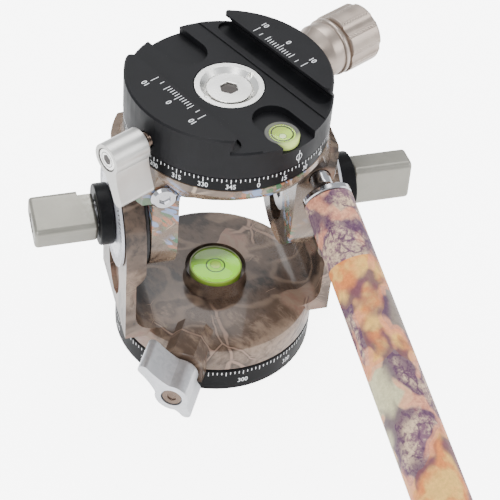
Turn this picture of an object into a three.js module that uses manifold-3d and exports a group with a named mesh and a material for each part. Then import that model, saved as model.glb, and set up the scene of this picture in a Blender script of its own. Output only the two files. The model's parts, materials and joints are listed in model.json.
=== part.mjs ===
// Two-way monopod head: a panning base, a tilting saddle with a pan handle, and a panning dovetail clamp.
// Millimetres. The pan axis is Z, the tilt axis runs along X, and the handle points to -Y.
import * as THREE from 'three';
import { mergeVertices } from 'three/addons/utils/BufferGeometryUtils.js';
import Module from 'manifold-3d';

const wasm = await Module();
wasm.setup();

// Clearances and facets
const gap = 0.3;
const overrun = 1;
const weld = 0.0001;
const roundShare = 1 - Math.SQRT1_2;
const facets = { small: 16, medium: 26, large: 40, rim: 64, curve: 6 };
const turn = Math.PI * 2;
const quarter = Math.PI / 2;
const degree = Math.PI / 180;

// Base: scale ring fixed to the monopod, with its threaded bush and the spigot that the yoke turns on
const base = {
  radius: 31.2,
  height: 9.4,
  edge: 0.9,
  spigotClearance: 3,
  spigotHeight: 6.8,
  screwReach: 7.7,
  bushRadius: 8.2,
  bushDepth: 7.6,
  threadRadius: 4.4,
  washerWidth: 11.5,
  washerRim: 2.7,
  washerThickness: 0.7,
  trackDepth: 1.3,
};

// Yoke: round floor with a raised boss and two upright arms
const yoke = {
  floorThickness: 8.8,
  rimRound: 3,
  slabThickness: 2.8,
  webThickness: 1.7,
  bossRadius: 12,
  bossRound: 1.2,
  armOverhang: 1.1,
  armThickness: 6,
  armHalfWidth: 17.3,
  thinWall: 3.1,
  thinDrop: 15,
  stepDrop: 10,
  filletWidth: 7,
  pocketHalfWidth: 7.5,
  pocketHalfHeight: 10.5,
  pocketRise: 12,
  pocketDepth: 1.5,
};

// Screw that holds the yoke on the spigot, with its washer
const pivot = {
  shankRadius: 3,
  shoulderRadius: 5,
  headRadius: 7,
  headHeight: 1.9,
  hexRadius: 2.9,
  hexDepth: 1.2,
  washerRadius: 7.6,
  washerThickness: 0.6,
};

// Tilt axis, and the stack of pieces on each of its two ends
const tilt = {
  height: 53,
  armThickness: 7.7,
  armInset: 0.5,
  washerThickness: 0.8,
  washerInset: 0.6,
  axleRadius: 4,
  axleHeadRadius: 6.2,
  axleHeadHeight: 1.7,
  axleHexRadius: 2.6,
  bushRadius: 6.2,
  dialInset: 1.1,
  dialThickness: 0.8,
  bossRadius: 9.2,
  bossLengths: { left: 4.3, right: 6.4 },
  springRadius: 7.4,
  springThickness: 0.7,
  threadRadius: 3,
  threadReach: 11.2,
  pocketHalfHeight: 11.5,
  pocketDepth: 2.6,
};

// Tilt knobs: oblong grips with rounded corners, each turned its own way; a relief shortens one long edge
const tiltKnob = {
  length: 18.6,
  depth: 8.8,
  height: 13.6,
  corner: 1.9,
  endBevel: 1.1,
  reliefLength: 4.4,
  reliefDepths: { left: 2, right: 0 },
  capRadius: 3,
  capDepth: 1.2,
  turns: { left: 73 * degree, right: -5 * degree },
};

// Saddle: top disc, shoulders over the outer arms, and two hanging inner arms
const saddle = {
  armClearance: 0.7,
  height: 12,
  discThickness: 2.2,
  shoulderInset: 0.4,
  shoulderHeight: 5.3,
  shoulderOverhang: 1.1,
  neckOverhang: 1.4,
  vaultDrop: 2.3,
  vaultFootRise: 2.5,
  coneInset: 7.4,
  coneDrop: 15,
};

// Handle seat in the right shoulder, and the handle
const handle = {
  seatInset: 8.1,
  seatRise: 1.4,
  outward: 4.7 * degree,
  downward: 17.5 * degree,
  seatRadius: 3,
  seatDepth: 9,
  neckLength: 3.9,
  flareShares: [
    [0.25, 0.03],
    [0.5, 0.16],
    [0.72, 0.42],
    [0.9, 0.8],
    [1, 1],
  ],
  collarRadius: 7.1,
  collarLength: 1.9,
  rodRadius: 5.6,
  gripStartRadius: 7.1,
  gripEndRadius: 7.9,
  gripLength: 142,
  capLength: 5.5,
  capRadius: 8.1,
  capRound: 2,
};

// Blanking plug in the left shoulder, where the handle can be fitted instead
const plug = {
  inset: 9.9,
  rise: 2.6,
  shankRadius: 2.8,
  shankLength: 8,
  headRadius: 3.9,
  headHeight: 1.6,
  hexRadius: 1.8,
  hexDepth: 0.8,
};

// Upper pan: scale ring and hub, both fixed to the saddle
const upperPan = {
  ringInset: 0.1,
  ringHeight: 4.3,
  hubRadius: 12,
  hubFlange: 15,
  hubFlangeHeight: 2,
};

// Clamp: body with the fixed jaw, moving jaw, and what is set into its floor
const clamp = {
  turn: -63.6 * degree,
  inset: 1.7,
  edge: 0.5,
  floorThickness: 8.4,
  webThickness: 0.75,
  jawHeight: 4.7,
  jawWidth: 13.1,
  undercut: 2.8,
  lipEdge: 0.8,
  seamWidth: 1.7,
  shelf: 2,
  jawInset: 0.5,
  jawTipRadius: 1.8,
  stripRise: 0.4,
  stripWidth: 2.3,
  slotWidth: 5.5,
  slotInset: 7,
  slotDepth: 1,
  pocketHalfWidth: 5.9,
  pocketInset: 11.1,
  pocketDepth: 2.4,
  crossHeight: 3.7,
};

// Bright insert in the clamp's floor: a coned ring with two notches, and the wide flat screw in it
const insert = {
  radius: 9.85,
  sunk: 0.05,
  thickness: 3.3,
  rimRadius: 8.3,
  coneDepth: 1.3,
  counterbore: 6.8,
  counterboreDepth: 2.6,
  notchStart: 6.2,
  notchEnd: 8.2,
  notchRadius: 0.8,
  notchDepth: 1.1,
  screwHead: 6.4,
  screwHeadHeight: 1.4,
  hexRadius: 2.7,
  hexDepth: 1,
  shankRadius: 2.5,
  shankLength: 8,
};

const level = {
  baseRadius: 8.2,
  baseHeight: 2.8,
  clampRadius: 4.9,
  clampHeight: 2.2,
  clampSunk: 0.4,
  clampInset: 5.8,
  clampOffset: -1.5,
  wallShare: 0.14,
  lensShare: 0.3,
};

// Lock knobs with one long wing, each with a stud and a brass pad
const lowerLock = {
  heading: -119.5 * degree,
  rise: 4.4,
  lugDepth: 13.6,
  lugReach: 4.4,
  lugHalfWidth: 6.2,
  lugRise: 2.5,
  lugChamfer: 3,
  hubClearance: 1,
  thickness: 11,
  hubRadius: 5.2,
  reach: 13,
  tipRadius: 1.7,
  backReach: 7.3,
  backTurn: 5 * degree,
  lean: 133.5 * degree,
  studRadius: 2.2,
  padRadius: 2.5,
  padLength: 4,
  socketDepth: 6,
  screwRadius: 3,
  screwDepth: 1.4,
};

const upperLock = {
  hubClearance: 2.3,
  thickness: 11.4,
  hubRadius: 4.7,
  reach: 12.7,
  tipRadius: 1.8,
  backReach: 0,
  lean: -67 * degree,
  studRadius: 2.2,
  padRadius: 2.4,
  padLength: 4,
  socketDepth: 6,
  screwRadius: 3.2,
  screwDepth: 1,
};

// Where the hollowed flanks of a wing bend, from its hub radius and its tip radius
const wing = {
  bendShare: 0.98,
  waistShare: 0.85,
};

// Jaw knob: flared skirt, flange and a fluted grip on the jaw screw
const jawKnob = {
  standOff: 1.7,
  skirtRadius: 6.2,
  skirtLength: 3.9,
  bellRadius: 8.3,
  waistRadius: 8.1,
  bellLength: 3.8,
  flangeRadius: 8.7,
  flangeLength: 1.3,
  grooveRadius: 7.7,
  grooveLength: 1.1,
  gripRadius: 9,
  gripLength: 11.6,
  endBevel: 0.9,
  fluteCount: 6,
  fluteRadius: 3.2,
  fluteBite: 0.7,
  boreRadius: 3.2,
  boreDepth: 16,
  screwRadius: 2.8,
  screwClearance: 1.4,
  capRadius: 4.2,
  capDepth: 1.2,
  washerRadius: 5.6,
  washerThickness: 0.6,
  noseRadius: 5,
};

// Guide pins and return spring between the clamp body and the moving jaw
const guide = {
  pinRadius: 1.5,
  pinSpacing: 13,
  pinDepth: 8.4,
  pinMargin: 3.5,
  springOuter: 2.5,
  springLength: 3,
};

// Colours and finishes
const finish = (color, roughness, metalness) =>
  new THREE.MeshStandardMaterial({ color, roughness, metalness });
const finishes = {
  camo: finish('#7d6a58', 0.25, 0.1),
  grip: finish('#8d6f66', 0.6, 0),
  black: finish('#26262a', 0.45, 0.6),
  satin: finish('#aaa69c', 0.42, 0.9),
  chrome: finish('#dcdcdc', 0.12, 1),
  steel: finish('#9a9a9a', 0.35, 1),
  brass: finish('#b08d45', 0.35, 1),
  polymer: finish('#1c1c1c', 0.7, 0),
  white: finish('#d8d8d8', 0.4, 0.3),
  liquid: finish('#b4e020', 0.15, 0),
  lens: finish('#e8f5d8', 0.05, 0),
  cup: finish('#3a3f30', 0.5, 0),
};

// Solids

// A closed geometry as a solid: corners welded, flat faces dropped, faces turned outwards.
function solid(geometry) {
  const bare = geometry.index ? geometry.toNonIndexed() : geometry.clone();
  bare.deleteAttribute('normal');
  bare.deleteAttribute('uv');
  const welded = mergeVertices(bare, weld);
  const corners = [];
  for (let i = 0; i < welded.index.count; i += 3) {
    const [a, b, c] = [0, 1, 2].map((k) => welded.index.getX(i + k));
    if (a !== b && b !== c && c !== a) corners.push(a, b, c);
  }
  const make = (list) =>
    new wasm.Manifold(
      new wasm.Mesh({
        numProp: 3,
        vertProperties: welded.attributes.position.array,
        triVerts: new Uint32Array(list),
      }),
    );
  const made = make(corners);
  return made.volume() > 0 ? made : make(corners.reverse());
}

const join = (...solids) => solids.reduce((whole, next) => whole.add(next));
const cut = (whole, ...tools) => tools.reduce((left, tool) => left.subtract(tool), whole);

// A profile of [radius, height] points turned about Z; it starts and ends on the axis or closes on itself.
function turned(profile, count = facets.medium) {
  const points = profile.map(([radius, height]) => new THREE.Vector2(radius, height));
  return new THREE.LatheGeometry(points, count).rotateX(quarter);
}

function ringProfile(inner, outer, low, high) {
  return [
    [inner, low],
    [outer, low],
    [outer, high],
    [inner, high],
    [inner, low],
  ];
}

function discProfile(radius, low, high) {
  return [
    [0, low],
    [radius, low],
    [radius, high],
    [0, high],
  ];
}

const rod = (radius, low, high, count = facets.medium) => turned(discProfile(radius, low, high), count);
const tube = (inner, outer, low, high, count = facets.medium) =>
  turned(ringProfile(inner, outer, low, high), count);
const hexagon = (radius, low, high) => turned(discProfile(radius, low, high), 6);

function box(width, depth, height) {
  return new THREE.BoxGeometry(width, depth, height);
}

function boxBetween(low, high) {
  const size = high.map((value, i) => value - low[i]);
  const middle = high.map((value, i) => (value + low[i]) / 2);
  return box(...size).translate(...middle);
}

function outline(points) {
  return new THREE.Shape(points.map(([x, y]) => new THREE.Vector2(x, y)));
}

function extruded(shape, depth) {
  return new THREE.ExtrudeGeometry(shape, { depth, bevelEnabled: false, curveSegments: facets.curve });
}

// A shape drawn in Y and Z, pushed along X from low to high.
function alongX(shape, low, high) {
  const turnUp = new THREE.Matrix4().makeBasis(
    new THREE.Vector3(0, 1, 0),
    new THREE.Vector3(0, 0, 1),
    new THREE.Vector3(1, 0, 0),
  );
  return extruded(shape, high - low).applyMatrix4(turnUp).translate(low, 0, 0);
}

// A shape drawn in X and Z, pushed along Y from -half to +half.
function alongY(shape, half) {
  return extruded(shape, half * 2).rotateX(quarter).translate(0, half, 0);
}

// Turns a geometry made along +Z so that it runs outwards along X on the given side, on the tilt axis.
function onTiltAxis(geometry, side) {
  return geometry.rotateY(side * quarter).translate(0, 0, tilt.height);
}

function oval(halfWidth, halfHeight, middle) {
  const shape = new THREE.Shape();
  shape.absellipse(0, middle, halfWidth, halfHeight, 0, turn, false, 0);
  return shape;
}

// Model tree
const head = new THREE.Group();
const clampGroup = new THREE.Group();
clampGroup.rotation.z = clamp.turn;
head.add(clampGroup);

function piece(name, body, material, parent = head) {
  const mesh = body.getMesh();
  const geometry = new THREE.BufferGeometry();
  geometry.setAttribute('position', new THREE.BufferAttribute(mesh.vertProperties, 3));
  geometry.setIndex(new THREE.BufferAttribute(mesh.triVerts, 1));
  const shown = new THREE.Mesh(geometry.toNonIndexed(), material);
  shown.geometry.computeVertexNormals();
  shown.name = name;
  parent.add(shown);
  return shown;
}

const sides = [
  ['left', -1],
  ['right', 1],
];

// Heights that several pieces share, from the base upwards
const spigotTop = base.height + base.spigotHeight;
const screwLow = spigotTop - base.screwReach;
const cavityTop = spigotTop + gap;
const webTop = cavityTop + yoke.webThickness;
const pivotWasherLow = webTop + gap;
const pivotHeadLow = pivotWasherLow + pivot.washerThickness + gap;
const pivotHeadHigh = pivotHeadLow + pivot.headHeight;
const baseCupLow = pivotHeadHigh + gap;
const baseCupHigh = baseCupLow + level.baseHeight;
const bossTop = baseCupHigh - gap;
const yokeLow = base.height + gap;
const floorTop = yokeLow + yoke.floorThickness;
const slabBottom = floorTop - yoke.slabThickness;
const shoulderBottom = tilt.height + yoke.armHalfWidth + saddle.armClearance;
const shoulderTop = shoulderBottom + saddle.shoulderHeight;
const vaultFoot = shoulderBottom + saddle.vaultFootRise;
const saddleTop = shoulderBottom + saddle.height;
const discLow = saddleTop - saddle.discThickness;
const vaultTop = saddleTop - saddle.vaultDrop;
const ringLow = saddleTop + gap;
const ringHigh = ringLow + upperPan.ringHeight;
const clampLow = ringHigh + gap;
const clampFloor = clampLow + clamp.floorThickness;
const clampTop = clampFloor + clamp.jawHeight;
const stripTop = clampFloor + clamp.stripRise;
const crossAxis = clampLow + clamp.crossHeight;
const clampLevelTop = clampFloor - level.clampSunk;
const insertTop = clampFloor - insert.sunk;
const insertLow = insertTop - insert.thickness;
const screwHeadLow = insertTop - insert.counterboreDepth + gap;
const hubCavityTop = insertLow - gap - clamp.webThickness;
const hubTop = hubCavityTop - gap;

// Places along the tilt axis, from the middle outwards
const yokeArmOuter = base.radius + yoke.armOverhang;
const yokeArmInner = yokeArmOuter - yoke.armThickness;
const saddleArmOuter = yokeArmInner - gap * 2 - tilt.washerThickness;
const saddleArmInner = saddleArmOuter - tilt.armThickness;
const saddleArmRadius = yoke.armHalfWidth - tilt.armInset;
const shoulderOuter = yokeArmOuter - saddle.shoulderInset;
const plugPlace = [plug.inset - shoulderOuter, -yoke.armHalfWidth, shoulderBottom + plug.rise];
const washerStart = saddleArmOuter + gap;
const dialStart = yokeArmOuter + gap;
const dialRadius = yoke.armHalfWidth - tilt.dialInset;
const bossStart = dialStart + tilt.dialThickness + gap;

// Radii of the lower pan and of the upper pan
const washerOuter = base.radius - base.washerRim;
const washerInner = washerOuter - base.washerWidth;
const spigotRadius = washerInner - base.spigotClearance;
const clampRadius = base.radius - clamp.inset;
const ringRadius = clampRadius - upperPan.ringInset;
const jawRadius = clampRadius - clamp.jawInset;

// Places across the clamp, from its middle outwards
const lipHalfWidth = clampRadius - clamp.jawWidth;
const footHalfWidth = lipHalfWidth + clamp.undercut;
const slotInner = footHalfWidth - clamp.slotWidth;
const bandHalfWidth = slotInner - clamp.stripWidth;
const seam = footHalfWidth + clamp.seamWidth;
const pocketMiddle = clampRadius - clamp.pocketInset;
const clampLevelPlace = [clampRadius - level.clampInset, level.clampOffset];
const pinStart = seam - guide.pinDepth;
const pinEnd = jawRadius - guide.pinMargin;
const jawScrewStart = upperPan.hubRadius + jawKnob.screwClearance;
const jawKnobStart = jawRadius + jawKnob.standOff;

// The lower lock's lug
const lowerLockHeight = yokeLow + lowerLock.rise;
const lugEnd = base.radius + lowerLock.lugReach;
const lugTop = floorTop + lowerLock.lugRise;

// Base

function buildBase() {
  const ring = turned(
    [
      [0, 0],
      [base.radius - base.edge, 0],
      [base.radius, base.edge],
      [base.radius, base.height - base.edge / 2],
      [base.radius - base.edge / 2, base.height],
      [spigotRadius, base.height],
      [spigotRadius, spigotTop],
      [0, spigotTop],
    ],
    facets.rim,
  );
  const track = tube(
    washerInner - gap,
    washerOuter + gap,
    base.height - base.trackDepth,
    base.height + overrun,
    facets.large,
  );
  const bushSeat = rod(base.bushRadius + gap, -overrun, base.bushDepth + gap);
  const screwHole = rod(pivot.shankRadius + gap, 0, spigotTop + overrun);
  piece(
    'base_ring',
    cut(solid(ring), solid(track), solid(bushSeat), solid(screwHole)),
    finishes.black,
  );
  const threadBush = tube(base.threadRadius, base.bushRadius, 0, base.bushDepth);
  piece('base_thread_bush', solid(threadBush), finishes.brass);
  const washerLow = base.height - base.trackDepth + gap;
  piece(
    'pan_thrust_washer',
    solid(
      tube(washerInner, washerOuter, washerLow, washerLow + base.washerThickness, facets.large),
    ),
    finishes.polymer,
  );
  const screw = turned([
    [0, screwLow],
    [pivot.shankRadius, screwLow],
    [pivot.shankRadius, cavityTop],
    [pivot.shoulderRadius, cavityTop],
    [pivot.shoulderRadius, pivotHeadLow],
    [pivot.headRadius, pivotHeadLow],
    [pivot.headRadius, pivotHeadHigh],
    [0, pivotHeadHigh],
  ]);
  const socket = hexagon(pivot.hexRadius, pivotHeadHigh - pivot.hexDepth, pivotHeadHigh + overrun);
  piece('pan_pivot_screw', cut(solid(screw), solid(socket)), finishes.steel);
  piece(
    'pan_pivot_washer',
    solid(
      tube(
        pivot.shoulderRadius + gap,
        pivot.washerRadius,
        pivotWasherLow,
        pivotWasherLow + pivot.washerThickness,
      ),
    ),
    finishes.polymer,
  );
}

// Yoke

// Side view of an outer arm: straight flanks under a round head about the tilt axis.
function armSideView(low, halfWidth) {
  const shape = new THREE.Shape();
  shape.moveTo(-halfWidth, low);
  shape.lineTo(halfWidth, low);
  shape.lineTo(halfWidth, tilt.height);
  shape.absarc(0, tilt.height, halfWidth, 0, Math.PI, false);
  shape.lineTo(-halfWidth, low);
  return shape;
}

// Front view of the right outer arm: thick at the head, thin below it, and filleted into the floor.
function armFrontView() {
  const thinInner = yokeArmOuter - yoke.thinWall;
  const root = thinInner - yoke.filletWidth;
  const headTop = tilt.height + yoke.armHalfWidth + overrun;
  const thinTop = tilt.height - yoke.thinDrop;
  const stepTop = tilt.height - yoke.stepDrop;
  const stepMiddle = (thinTop + stepTop) / 2;
  const shape = new THREE.Shape();
  shape.moveTo(yokeArmOuter, slabBottom);
  shape.lineTo(yokeArmOuter, headTop);
  shape.lineTo(yokeArmInner, headTop);
  shape.lineTo(yokeArmInner, stepTop);
  shape.quadraticCurveTo(yokeArmInner, stepMiddle, thinInner, thinTop);
  shape.lineTo(thinInner, floorTop + yoke.filletWidth);
  shape.quadraticCurveTo(thinInner, floorTop, root, floorTop);
  shape.lineTo(root, slabBottom);
  shape.lineTo(yokeArmOuter, slabBottom);
  return shape;
}

// Lug that carries the lower lock: a chamfered block on the rim, drawn across and pushed outwards.
function lockLug() {
  const half = lowerLock.lugHalfWidth;
  const shape = outline([
    [-half, yokeLow],
    [half, yokeLow],
    [half, lugTop - lowerLock.lugChamfer],
    [half - lowerLock.lugChamfer, lugTop],
    [-half + lowerLock.lugChamfer, lugTop],
    [-half, lugTop - lowerLock.lugChamfer],
  ]);
  return alongX(shape, lugEnd - lowerLock.lugDepth, lugEnd).rotateZ(lowerLock.heading);
}

function buildYoke() {
  const floor = turned(
    [
      [0, yokeLow],
      [base.radius - base.edge / 2, yokeLow],
      [base.radius, yokeLow + base.edge / 2],
      [base.radius, floorTop - yoke.rimRound],
      [base.radius - yoke.rimRound * roundShare, floorTop - yoke.rimRound * roundShare],
      [base.radius - yoke.rimRound, floorTop],
      [yoke.bossRadius + yoke.bossRound * 2, floorTop],
      [yoke.bossRadius, floorTop + yoke.bossRound * 2],
      [yoke.bossRadius, bossTop - yoke.bossRound],
      [yoke.bossRadius - yoke.bossRound, bossTop],
      [0, bossTop],
    ],
    facets.rim,
  );
  const slab = boxBetween(
    [-yokeArmOuter, -yoke.armHalfWidth, slabBottom],
    [yokeArmOuter, yoke.armHalfWidth, floorTop],
  );
  const sideView = solid(
    alongX(armSideView(slabBottom, yoke.armHalfWidth), -yokeArmOuter, yokeArmOuter),
  );
  const rightArm = solid(alongY(armFrontView(), yoke.armHalfWidth + overrun));
  const leftArm = solid(alongY(armFrontView(), yoke.armHalfWidth + overrun).rotateZ(Math.PI));
  const arms = join(rightArm, leftArm).intersect(sideView);
  const cavity = rod(spigotRadius + gap, 0, cavityTop, facets.large);
  const shoulderHole = rod(pivot.shoulderRadius + gap, 0, webTop + overrun);
  const headRecess = rod(pivot.washerRadius + gap, webTop, baseCupLow + overrun);
  const cupSeat = rod(level.baseRadius + gap, baseCupLow - gap, bossTop + overrun, facets.large);
  const tools = [cavity, shoulderHole, headRecess, cupSeat];
  for (const [, side] of sides) {
    tools.push(
      onTiltAxis(rod(tilt.bushRadius + gap, yokeArmInner - overrun, yokeArmOuter + overrun), side),
    );
    const pocket = alongX(
      oval(yoke.pocketHalfWidth, yoke.pocketHalfHeight, floorTop + yoke.pocketRise),
      yokeArmOuter - yoke.pocketDepth,
      yokeArmOuter + overrun,
    );
    tools.push(side > 0 ? pocket : pocket.rotateZ(Math.PI));
  }
  const padBore = rod(lowerLock.padRadius + gap, 0, lugEnd + overrun, facets.small)
    .rotateY(quarter)
    .translate(0, 0, lowerLockHeight)
    .rotateZ(lowerLock.heading);
  tools.push(padBore);
  const whole = join(solid(floor), solid(slab), arms, solid(lockLug()));
  piece('yoke', cut(whole, ...tools.map(solid)), finishes.camo);
  for (const [name, side] of sides) {
    const bush = tube(tilt.axleRadius + gap, tilt.bushRadius, yokeArmInner, yokeArmOuter);
    piece(`${name}_axle_bush`, solid(onTiltAxis(bush, side)), finishes.brass);
  }
  const dial = tube(
    tilt.axleRadius + gap,
    dialRadius,
    dialStart,
    dialStart + tilt.dialThickness,
    facets.large,
  );
  piece('tilt_dial', solid(onTiltAxis(dial, -1)), finishes.white);
  const plate = tube(
    tilt.axleRadius + gap,
    dialRadius,
    dialStart,
    dialStart + tilt.dialThickness,
    facets.large,
  );
  piece('right_cover_plate', solid(onTiltAxis(plate, 1)), finishes.white);
}

// Levels: a cup, the liquid in it and the lens on top, between two heights about a given place
function buildLevel(name, radius, low, high, parent, [x, y] = [0, 0]) {
  const wall = radius * level.wallShare;
  const floor = low + wall / 2;
  const lensLow = high - (high - low) * level.lensShare;
  const cup = turned([
    [0, low],
    [radius, low],
    [radius, high],
    [radius - wall, high],
    [radius - wall, floor],
    [0, floor],
  ]).translate(x, y, 0);
  const inside = radius - wall - gap;
  const liquid = rod(inside, floor + gap, lensLow - gap).translate(x, y, 0);
  const lens = turned([
    [0, lensLow],
    [inside, lensLow],
    [inside, high - wall / 2],
    [inside - wall, high],
    [0, high],
  ]).translate(x, y, 0);
  piece(`${name}_level_cup`, solid(cup), finishes.cup, parent);
  piece(`${name}_level_liquid`, solid(liquid), finishes.liquid, parent);
  piece(`${name}_level_lens`, solid(lens), finishes.lens, parent);
}

// Lock knobs

// Wings from a hub on the origin, with hollowed flanks and round tips: a long one ahead, a short one behind.
function wingLobes(knob) {
  const { hubRadius, tipRadius } = knob;
  const lobe = (reach, way) => {
    const shape = new THREE.Shape();
    const tip = reach - tipRadius;
    const bend = way * hubRadius * wing.bendShare;
    const waist = tipRadius * wing.waistShare;
    shape.moveTo(0, -hubRadius);
    shape.quadraticCurveTo(bend, -waist, way * tip, -tipRadius);
    shape.absarc(way * tip, 0, tipRadius, -quarter, quarter, way < 0);
    shape.quadraticCurveTo(bend, waist, 0, hubRadius);
    shape.lineTo(0, -hubRadius);
    return shape;
  };
  const lobes = [extruded(lobe(knob.reach + tipRadius, 1), knob.thickness)];
  if (knob.backReach > 0) {
    lobes.push(extruded(lobe(knob.backReach + tipRadius, -1), knob.thickness).rotateZ(-knob.backTurn));
  }
  return lobes;
}

// A wing knob along +Z from zero to its thickness, with a blind socket for the stud.
function wingKnob(knob) {
  const hub = solid(rod(knob.hubRadius, 0, knob.thickness));
  const wings = wingLobes(knob).map(solid);
  const socket = solid(rod(knob.studRadius + gap, -overrun, knob.socketDepth + gap, facets.small));
  const recess = solid(
    rod(knob.screwRadius + gap, knob.thickness - knob.screwDepth, knob.thickness + overrun),
  );
  return cut(join(hub, ...wings), socket, recess);
}

function capScrew(knob) {
  const low = knob.thickness - knob.screwDepth + gap;
  const cap = solid(rod(knob.screwRadius, low, knob.thickness - gap, facets.small));
  const hex = solid(hexagon(knob.screwRadius / 2, knob.thickness - knob.screwDepth / 2, knob.thickness));
  return cut(cap, hex);
}

// Places a lock's pieces: local +Z points along the heading, local +X lies level, and +Y is up.
function lockGroup(parent, heading, height, start) {
  const group = new THREE.Group();
  const out = new THREE.Vector3(Math.cos(heading), Math.sin(heading), 0);
  const up = new THREE.Vector3(0, 0, 1);
  const across = new THREE.Vector3().crossVectors(up, out);
  group.setRotationFromMatrix(new THREE.Matrix4().makeBasis(across, up, out));
  group.position.copy(out).multiplyScalar(start).setZ(height);
  parent.add(group);
  return group;
}

function buildLock(name, knob, parent, { heading, height, start, padStart }) {
  const group = lockGroup(parent, heading, height, start);
  const wing = piece(`${name}_lock_knob`, wingKnob(knob), finishes.satin, group);
  wing.rotation.z = knob.lean;
  piece(`${name}_lock_cap`, capScrew(knob), finishes.steel, group);
  const padLow = padStart - start;
  const studLow = padLow + knob.padLength + gap;
  const stud = rod(knob.studRadius, studLow, knob.socketDepth, facets.small);
  piece(`${name}_lock_stud`, solid(stud), finishes.steel, group);
  const pad = rod(knob.padRadius, padLow, padLow + knob.padLength, facets.small);
  piece(`${name}_lock_pad`, solid(pad), finishes.brass, group);
}

// Tilt stack

function roundedOblong(width, height, corner) {
  const x = width / 2;
  const y = height / 2;
  const shape = new THREE.Shape();
  shape.moveTo(-x + corner, -y);
  shape.lineTo(x - corner, -y);
  shape.absarc(x - corner, -y + corner, corner, -quarter, 0, false);
  shape.lineTo(x, y - corner);
  shape.absarc(x - corner, y - corner, corner, 0, quarter, false);
  shape.lineTo(-x + corner, y);
  shape.absarc(-x + corner, y - corner, corner, quarter, quarter * 2, false);
  shape.lineTo(-x, -y + corner);
  shape.absarc(-x + corner, -y + corner, corner, quarter * 2, quarter * 3, false);
  return shape;
}

function buildTiltStack(name, side) {
  const bossEnd = bossStart + tilt.bossLengths[name];
  const axle = turned([
    [0, saddleArmInner + tilt.pocketDepth - gap - tilt.axleHeadHeight],
    [tilt.axleHeadRadius, saddleArmInner + tilt.pocketDepth - gap - tilt.axleHeadHeight],
    [tilt.axleHeadRadius, saddleArmInner + tilt.pocketDepth - gap],
    [tilt.axleRadius, saddleArmInner + tilt.pocketDepth - gap],
    [tilt.axleRadius, bossEnd - gap],
    [tilt.threadRadius, bossEnd - gap],
    [tilt.threadRadius, bossEnd + tilt.threadReach],
    [0, bossEnd + tilt.threadReach],
  ]);
  const headFace = saddleArmInner + tilt.pocketDepth - gap - tilt.axleHeadHeight;
  const socket = hexagon(tilt.axleHexRadius, headFace - overrun, headFace + tilt.axleHeadHeight / 2);
  piece(
    `${name}_tilt_axle`,
    cut(solid(onTiltAxis(axle, side)), solid(onTiltAxis(socket, side))),
    finishes.steel,
  );
  const washer = tube(
    tilt.axleRadius + gap,
    saddleArmRadius - tilt.washerInset,
    washerStart,
    washerStart + tilt.washerThickness,
    facets.large,
  );
  piece(`${name}_friction_washer`, solid(onTiltAxis(washer, side)), finishes.polymer);
  const boss = rod(tilt.bossRadius, bossStart, bossEnd, facets.large);
  const bossBore = rod(tilt.axleRadius + gap, bossStart - overrun, bossEnd + overrun);
  const springSeat = rod(
    tilt.springRadius + gap,
    bossStart - overrun,
    bossStart + tilt.springThickness + gap,
  );
  piece(
    `${name}_tilt_boss`,
    cut(...[boss, bossBore, springSeat].map((shape) => solid(onTiltAxis(shape, side)))),
    finishes.black,
  );
  const spring = tube(
    tilt.axleRadius + gap,
    tilt.springRadius,
    bossStart,
    bossStart + tilt.springThickness,
  );
  piece(`${name}_spring_washer`, solid(onTiltAxis(spring, side)), finishes.steel);
  buildTiltKnob(name, side, bossEnd);
}

function buildTiltKnob(name, side, bossEnd) {
  const start = bossEnd + gap;
  const end = start + tiltKnob.length;
  const edge = tiltKnob.height / 2;
  const grip = new THREE.ExtrudeGeometry(roundedOblong(tiltKnob.height, tiltKnob.depth, tiltKnob.corner), {
    depth: tiltKnob.length - tiltKnob.endBevel * 2,
    bevelThickness: tiltKnob.endBevel,
    bevelSize: tiltKnob.endBevel,
    bevelOffset: -tiltKnob.endBevel,
    bevelSegments: 2,
    curveSegments: facets.curve / 2,
  }).translate(0, 0, start + tiltKnob.endBevel);
  const relief = boxBetween(
    [edge - tiltKnob.reliefDepths[name], -tiltKnob.depth, start - overrun],
    [edge + overrun, tiltKnob.depth, start + tiltKnob.reliefLength],
  );
  const bore = rod(tilt.threadRadius + gap, start - overrun, bossEnd + tilt.threadReach + gap);
  const recess = rod(tiltKnob.capRadius + gap, end - tiltKnob.capDepth, end + overrun, facets.small);
  const shapes = [grip, relief, bore, recess].map((shape) =>
    solid(onTiltAxis(shape.rotateZ(tiltKnob.turns[name]), side)),
  );
  piece(`${name}_tilt_knob`, cut(...shapes), finishes.satin);
  const cap = rod(tiltKnob.capRadius, end - tiltKnob.capDepth + gap, end - gap, facets.small);
  piece(`${name}_knob_cap`, solid(onTiltAxis(cap, side)), finishes.steel);
}

// Saddle

// Half of the saddle's front view, from the vault's crown out to the shoulder and down the inner arm.
function saddleFrontView() {
  const armLow = tilt.height - saddleArmRadius - overrun;
  const half = [
    [ringRadius - gap, discLow + overrun],
    [ringRadius - gap, discLow],
    [shoulderOuter, shoulderTop],
    [shoulderOuter, shoulderBottom],
    [saddleArmOuter, shoulderBottom],
    [saddleArmOuter, armLow],
    [saddleArmInner, armLow],
    [saddleArmInner, vaultFoot],
  ];
  const shape = new THREE.Shape();
  shape.moveTo(...half[0]);
  half.slice(1).forEach((point) => shape.lineTo(...point));
  shape.bezierCurveTo(
    saddleArmInner,
    vaultTop,
    -saddleArmInner,
    vaultTop,
    -saddleArmInner,
    vaultFoot,
  );
  half.reverse().slice(1).forEach(([x, z]) => shape.lineTo(-x, z));
  shape.lineTo(...half[half.length - 1]);
  return shape;
}

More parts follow.
